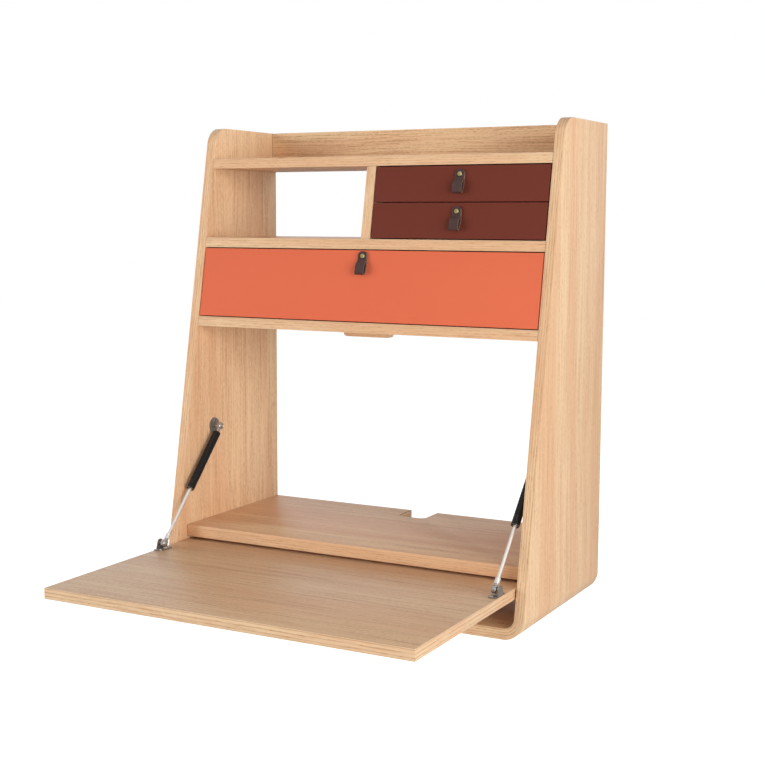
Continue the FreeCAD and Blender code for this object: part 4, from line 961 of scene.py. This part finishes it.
# Side view of the strap's middle in millimetres: behind the front's face, so below nought, and
# above the screw.
MILLIMETRE = 0.001
STRAP_TOP, STRAP_BACK, STRAP_FRONT = (8.65, 8.35, 7.5, 6.0, 3.5, 0.0), -1.1, -3.3
STRAP_LINE = [
    *((STRAP_BACK, up) for up in STRAP_TOP),
    (-1.15, -9.0), (-1.7, -18.0), (-3.0, -25.0), (-4.4, -29.5), (-5.6, -31.8), (-7.0, -32.85), (-9.2, -32.85),
    (-10.8, -32.3), (-11.35, -30.8), (-11.38, -27.0), (-11.3, -23.0), (-11.0, -20.0), (-10.0, -17.0),
    (-8.0, -13.8), (-5.6, -11.0), (-4.1, -8.4), (-3.45, -5.6), (-3.3, -3.0),
    *((STRAP_FRONT, up) for up in STRAP_TOP[::-1]),
]


def smooth_line(points, steps):
    """Points on a smooth curve through the given ones."""
    points = [Vector(point) for point in points]
    padded = [points[0], *points, points[-1]]
    line = []
    for before, start, end, after in zip(padded, padded[1:], padded[2:], padded[3:]):
        for step in range(steps):
            t = step / steps
            straight = 2 * start + (end - before) * t
            bow = (2 * before - 5 * start + 4 * end - after) * t**2
            twist = (3 * start - before - 3 * end + after) * t**3
            line.append(0.5 * (straight + bow + twist))
    return line + [points[-1]]


def strap_mesh(across, height):
    """The folded strap, leaned against the front at a point."""
    line = [point * MILLIMETRE for point in smooth_line(STRAP_LINE, 3)]
    rise = math.atan(LEAN)
    sections = []
    for k, (out, up) in enumerate(line):
        ahead = line[min(k + 1, len(line) - 1)] - line[max(k - 1, 0)]
        normal = Vector((-ahead.y, ahead.x)).normalized()
        over = up - (STRAP_HALF - ARCH)
        half = STRAP_HALF
        if over > 0:
            half = STRAP_HALF - ARCH + math.sqrt(max(ARCH**2 - over**2, 0))
        half = max(half, TIP_HALF)
        thick, soft = LEATHER / 2, min(SOFT, half * 0.5)
        section = []
        for x, through in (
            (-half, soft - thick), (soft - half, -thick), (0, -thick), (half - soft, -thick),
            (half, soft - thick), (half, thick - soft), (half - soft, thick), (0, thick),
            (soft - half, thick), (-half, thick - soft),
        ):
            y, z = out + normal.x * through, up + normal.y * through
            leaned = (y * math.cos(rise) + z * math.sin(rise), z * math.cos(rise) - y * math.sin(rise))
            section.append((across + x, front(height) + leaned[0], height + leaned[1]))
        sections.append(section)
    return loft(sections)


def lay_leather(data, screw):
    """Marks the raw cut edges of the strap, which are paler, and the ring of painted shade round the screw."""
    raw = data.attributes.new("raw_edge", "FLOAT", "CORNER")
    screw_shadow = data.attributes.new("screw_shadow", "FLOAT", "CORNER")
    for face in data.polygons:
        for corner in face.loop_indices:
            raw.data[corner].value = 1 if abs(face.normal.x) > RAW_FACING else 0
            near = (data.vertices[data.loops[corner].vertex_index].co - screw).length < SHADOW_RING + SHADOW_RING_PROUD
            screw_shadow.data[corner].value = 1 if near and abs(face.normal.x) < FLAT_FACING else 0


def make_leather():
    """Grained leather, paler where it is cut, with a near-black ring of painted shade round the screw."""
    material, tree, shader = new_material("brown_leather", Specular_IOR_Level=0.35)
    place = node(tree, "ShaderNodeTexCoord", {}).outputs["Object"]
    inputs = {"Vector": place, "Scale": 1500.0}
    cells = node(tree, "ShaderNodeTexVoronoi", inputs, feature="DISTANCE_TO_EDGE").outputs[0]
    creases = noise(tree, place, 260.0, 4.0)
    dyed = mix_colours(tree, noise(tree, place, 70.0), *DYED)
    colour = mix_colours(tree, attribute(tree, "raw_edge"), dyed, mix_colours(tree, creases, *CUT_LEATHER))
    ring = times(tree, attribute(tree, "screw_shadow"), 0.75)
    colour = mix_colours(tree, ring, colour, PAINTED_SCREW_SHADOW)
    rough = spread(tree, creases, 0.3, 0.7, 0.42, 0.62)
    relief = weigh(tree, creases, 0.8, spread(tree, cells, 0.0, 0.25))
    bump = node(tree, "ShaderNodeBump", {"Strength": 0.35, "Distance": FINISH_RELIEF, "Height": relief})
    feed(tree, shader, {"Base Color": colour, "Roughness": rough, "Normal": bump.outputs["Normal"]})
    return material


LEATHER_BROWN = make_leather()
BRASS_YELLOW, BRASS_MARKS = (0.52, 0.44, 0.20, 1), (2200, 300, 2200)
BRASS = finish_material("brushed_brass", BRASS_YELLOW, BRASS_MARKS, 0.46, 0.06, 0.15, 0.3, Metallic=1.0)

for drawer, drop in SCREW_DROP.items():
    low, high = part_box(f"{drawer}_front")
    across, height = (low.x + high.x) / 2, high.z - drop
    out = Vector((0, -1, LEAN)) / STRETCH
    seat = Vector((across, front(height), height)) + out * (2 * LEATHER)
    # A thin disc round the screw carries the ring of painted shade.
    ring = [(0, -SHADOW_RING_SUNK), (SHADOW_RING, -SHADOW_RING_SUNK), (SHADOW_RING, SHADOW_RING_PROUD), (0, SHADOW_RING_PROUD)]
    data = to_data(together(strap_mesh(across, height), turn(ring, seat, out, 32)))
    lay_leather(data, seat)
    piece(f"{drawer}_strap_folded", data, f"{drawer}_strap", LEATHER_BROWN)
    values = {
        "Head Radius": 0.0043, "Head Height": 0.0016, "Shank Radius": 0.002, "Shank Length": 0.016,
        "Recess Length": 0.0036, "Recess Width": 0.0007, "Recess Depth": 0.0006, "Seed": 5, "Material": BRASS,
    }
    data = grow(SCREWS, [seat], values, axes=[out])
    piece(f"{drawer}_pull_screw_brass", data, f"{drawer}_pull_screw", BRASS)

# Floor, light and camera ----------------------
# The desk hangs at its working height over a plain pale floor. Five large round lamps light it, most
# strongly from the front right. The surroundings look white and the floor keeps the shadow.

DESK_HEIGHT, FLOOR_SIZE = 0.74, 14
FLOOR_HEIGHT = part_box("leaf")[1].z - DESK_HEIGHT

floor_mesh = bmesh.new()
bmesh.ops.create_grid(floor_mesh, x_segments=1, y_segments=1, size=FLOOR_SIZE)
bmesh.ops.translate(floor_mesh, verts=floor_mesh.verts, vec=(0, 0, FLOOR_HEIGHT))
floor = put("floor", to_data(floor_mesh))
floor_material, tree, shader = new_material("pale_floor", Roughness=0.9, Specular_IOR_Level=0.0)
shader["Base Color"].default_value = (0.80, 0.80, 0.80, 1)
shader["Emission Color"].default_value = (1, 1, 1, 1)
path = node(tree, "ShaderNodeLightPath", {}).outputs
tree.links.new(times(tree, path["Is Camera Ray"], 0.92), shader["Emission Strength"])
floor.data.materials.append(floor_material)

world = bpy.data.worlds.new("studio")
bpy.context.scene.world = world
world.use_nodes = True
tree = world.node_tree
background = tree.nodes["Background"].inputs
path = node(tree, "ShaderNodeLightPath", {}).outputs
seen = times(tree, path["Is Camera Ray"], 0.83)
seen = weigh(tree, path["Is Glossy Ray"], 0.50, seen)
tree.links.new(math_node(tree, "ADD", seen, 0.17), background["Strength"])
background["Color"].default_value = (1, 1, 1, 1)

AIM, LAMP_SIZE, NOT_MIRRORED = Vector((0, -0.2, -0.1)), 3.8, "fill"
LAMPS = {
    "key": ((5.18, -3.19, 0.42), 258),
    "fill": ((-4.55, -4.02, 0.74), 188),
    "rim": ((4.50, 2.40, 2.90), 68),
    "top": ((0.52, -1.10, 5.81), 26),
    "back": ((-3.67, 4.17, 1.75), 18),
}
for name, (place, power) in LAMPS.items():
    light = bpy.data.lights.new(name, "AREA")
    light.shape = "DISK"
    light.size = LAMP_SIZE
    light.energy = power
    lamp = put(name, light)
    lamp.location = place
    lamp.visible_camera = False
    lamp.visible_glossy = name != NOT_MIRRORED
    lamp.rotation_euler = (AIM - Vector(place)).to_track_quat("-Z", "Y").to_euler()

view = bpy.data.cameras.new("camera")
view.lens = 64.687
view.sensor_width = 36
camera = put("camera", view)
camera.location = (1.17624, -2.39560, 0.11765)
camera.rotation_euler = [math.radians(turned) for turned in (83.22096, -0.16975, 27.96980)]
bpy.context.scene.camera = camera
bpy.context.scene.view_settings.view_transform = "Standard"
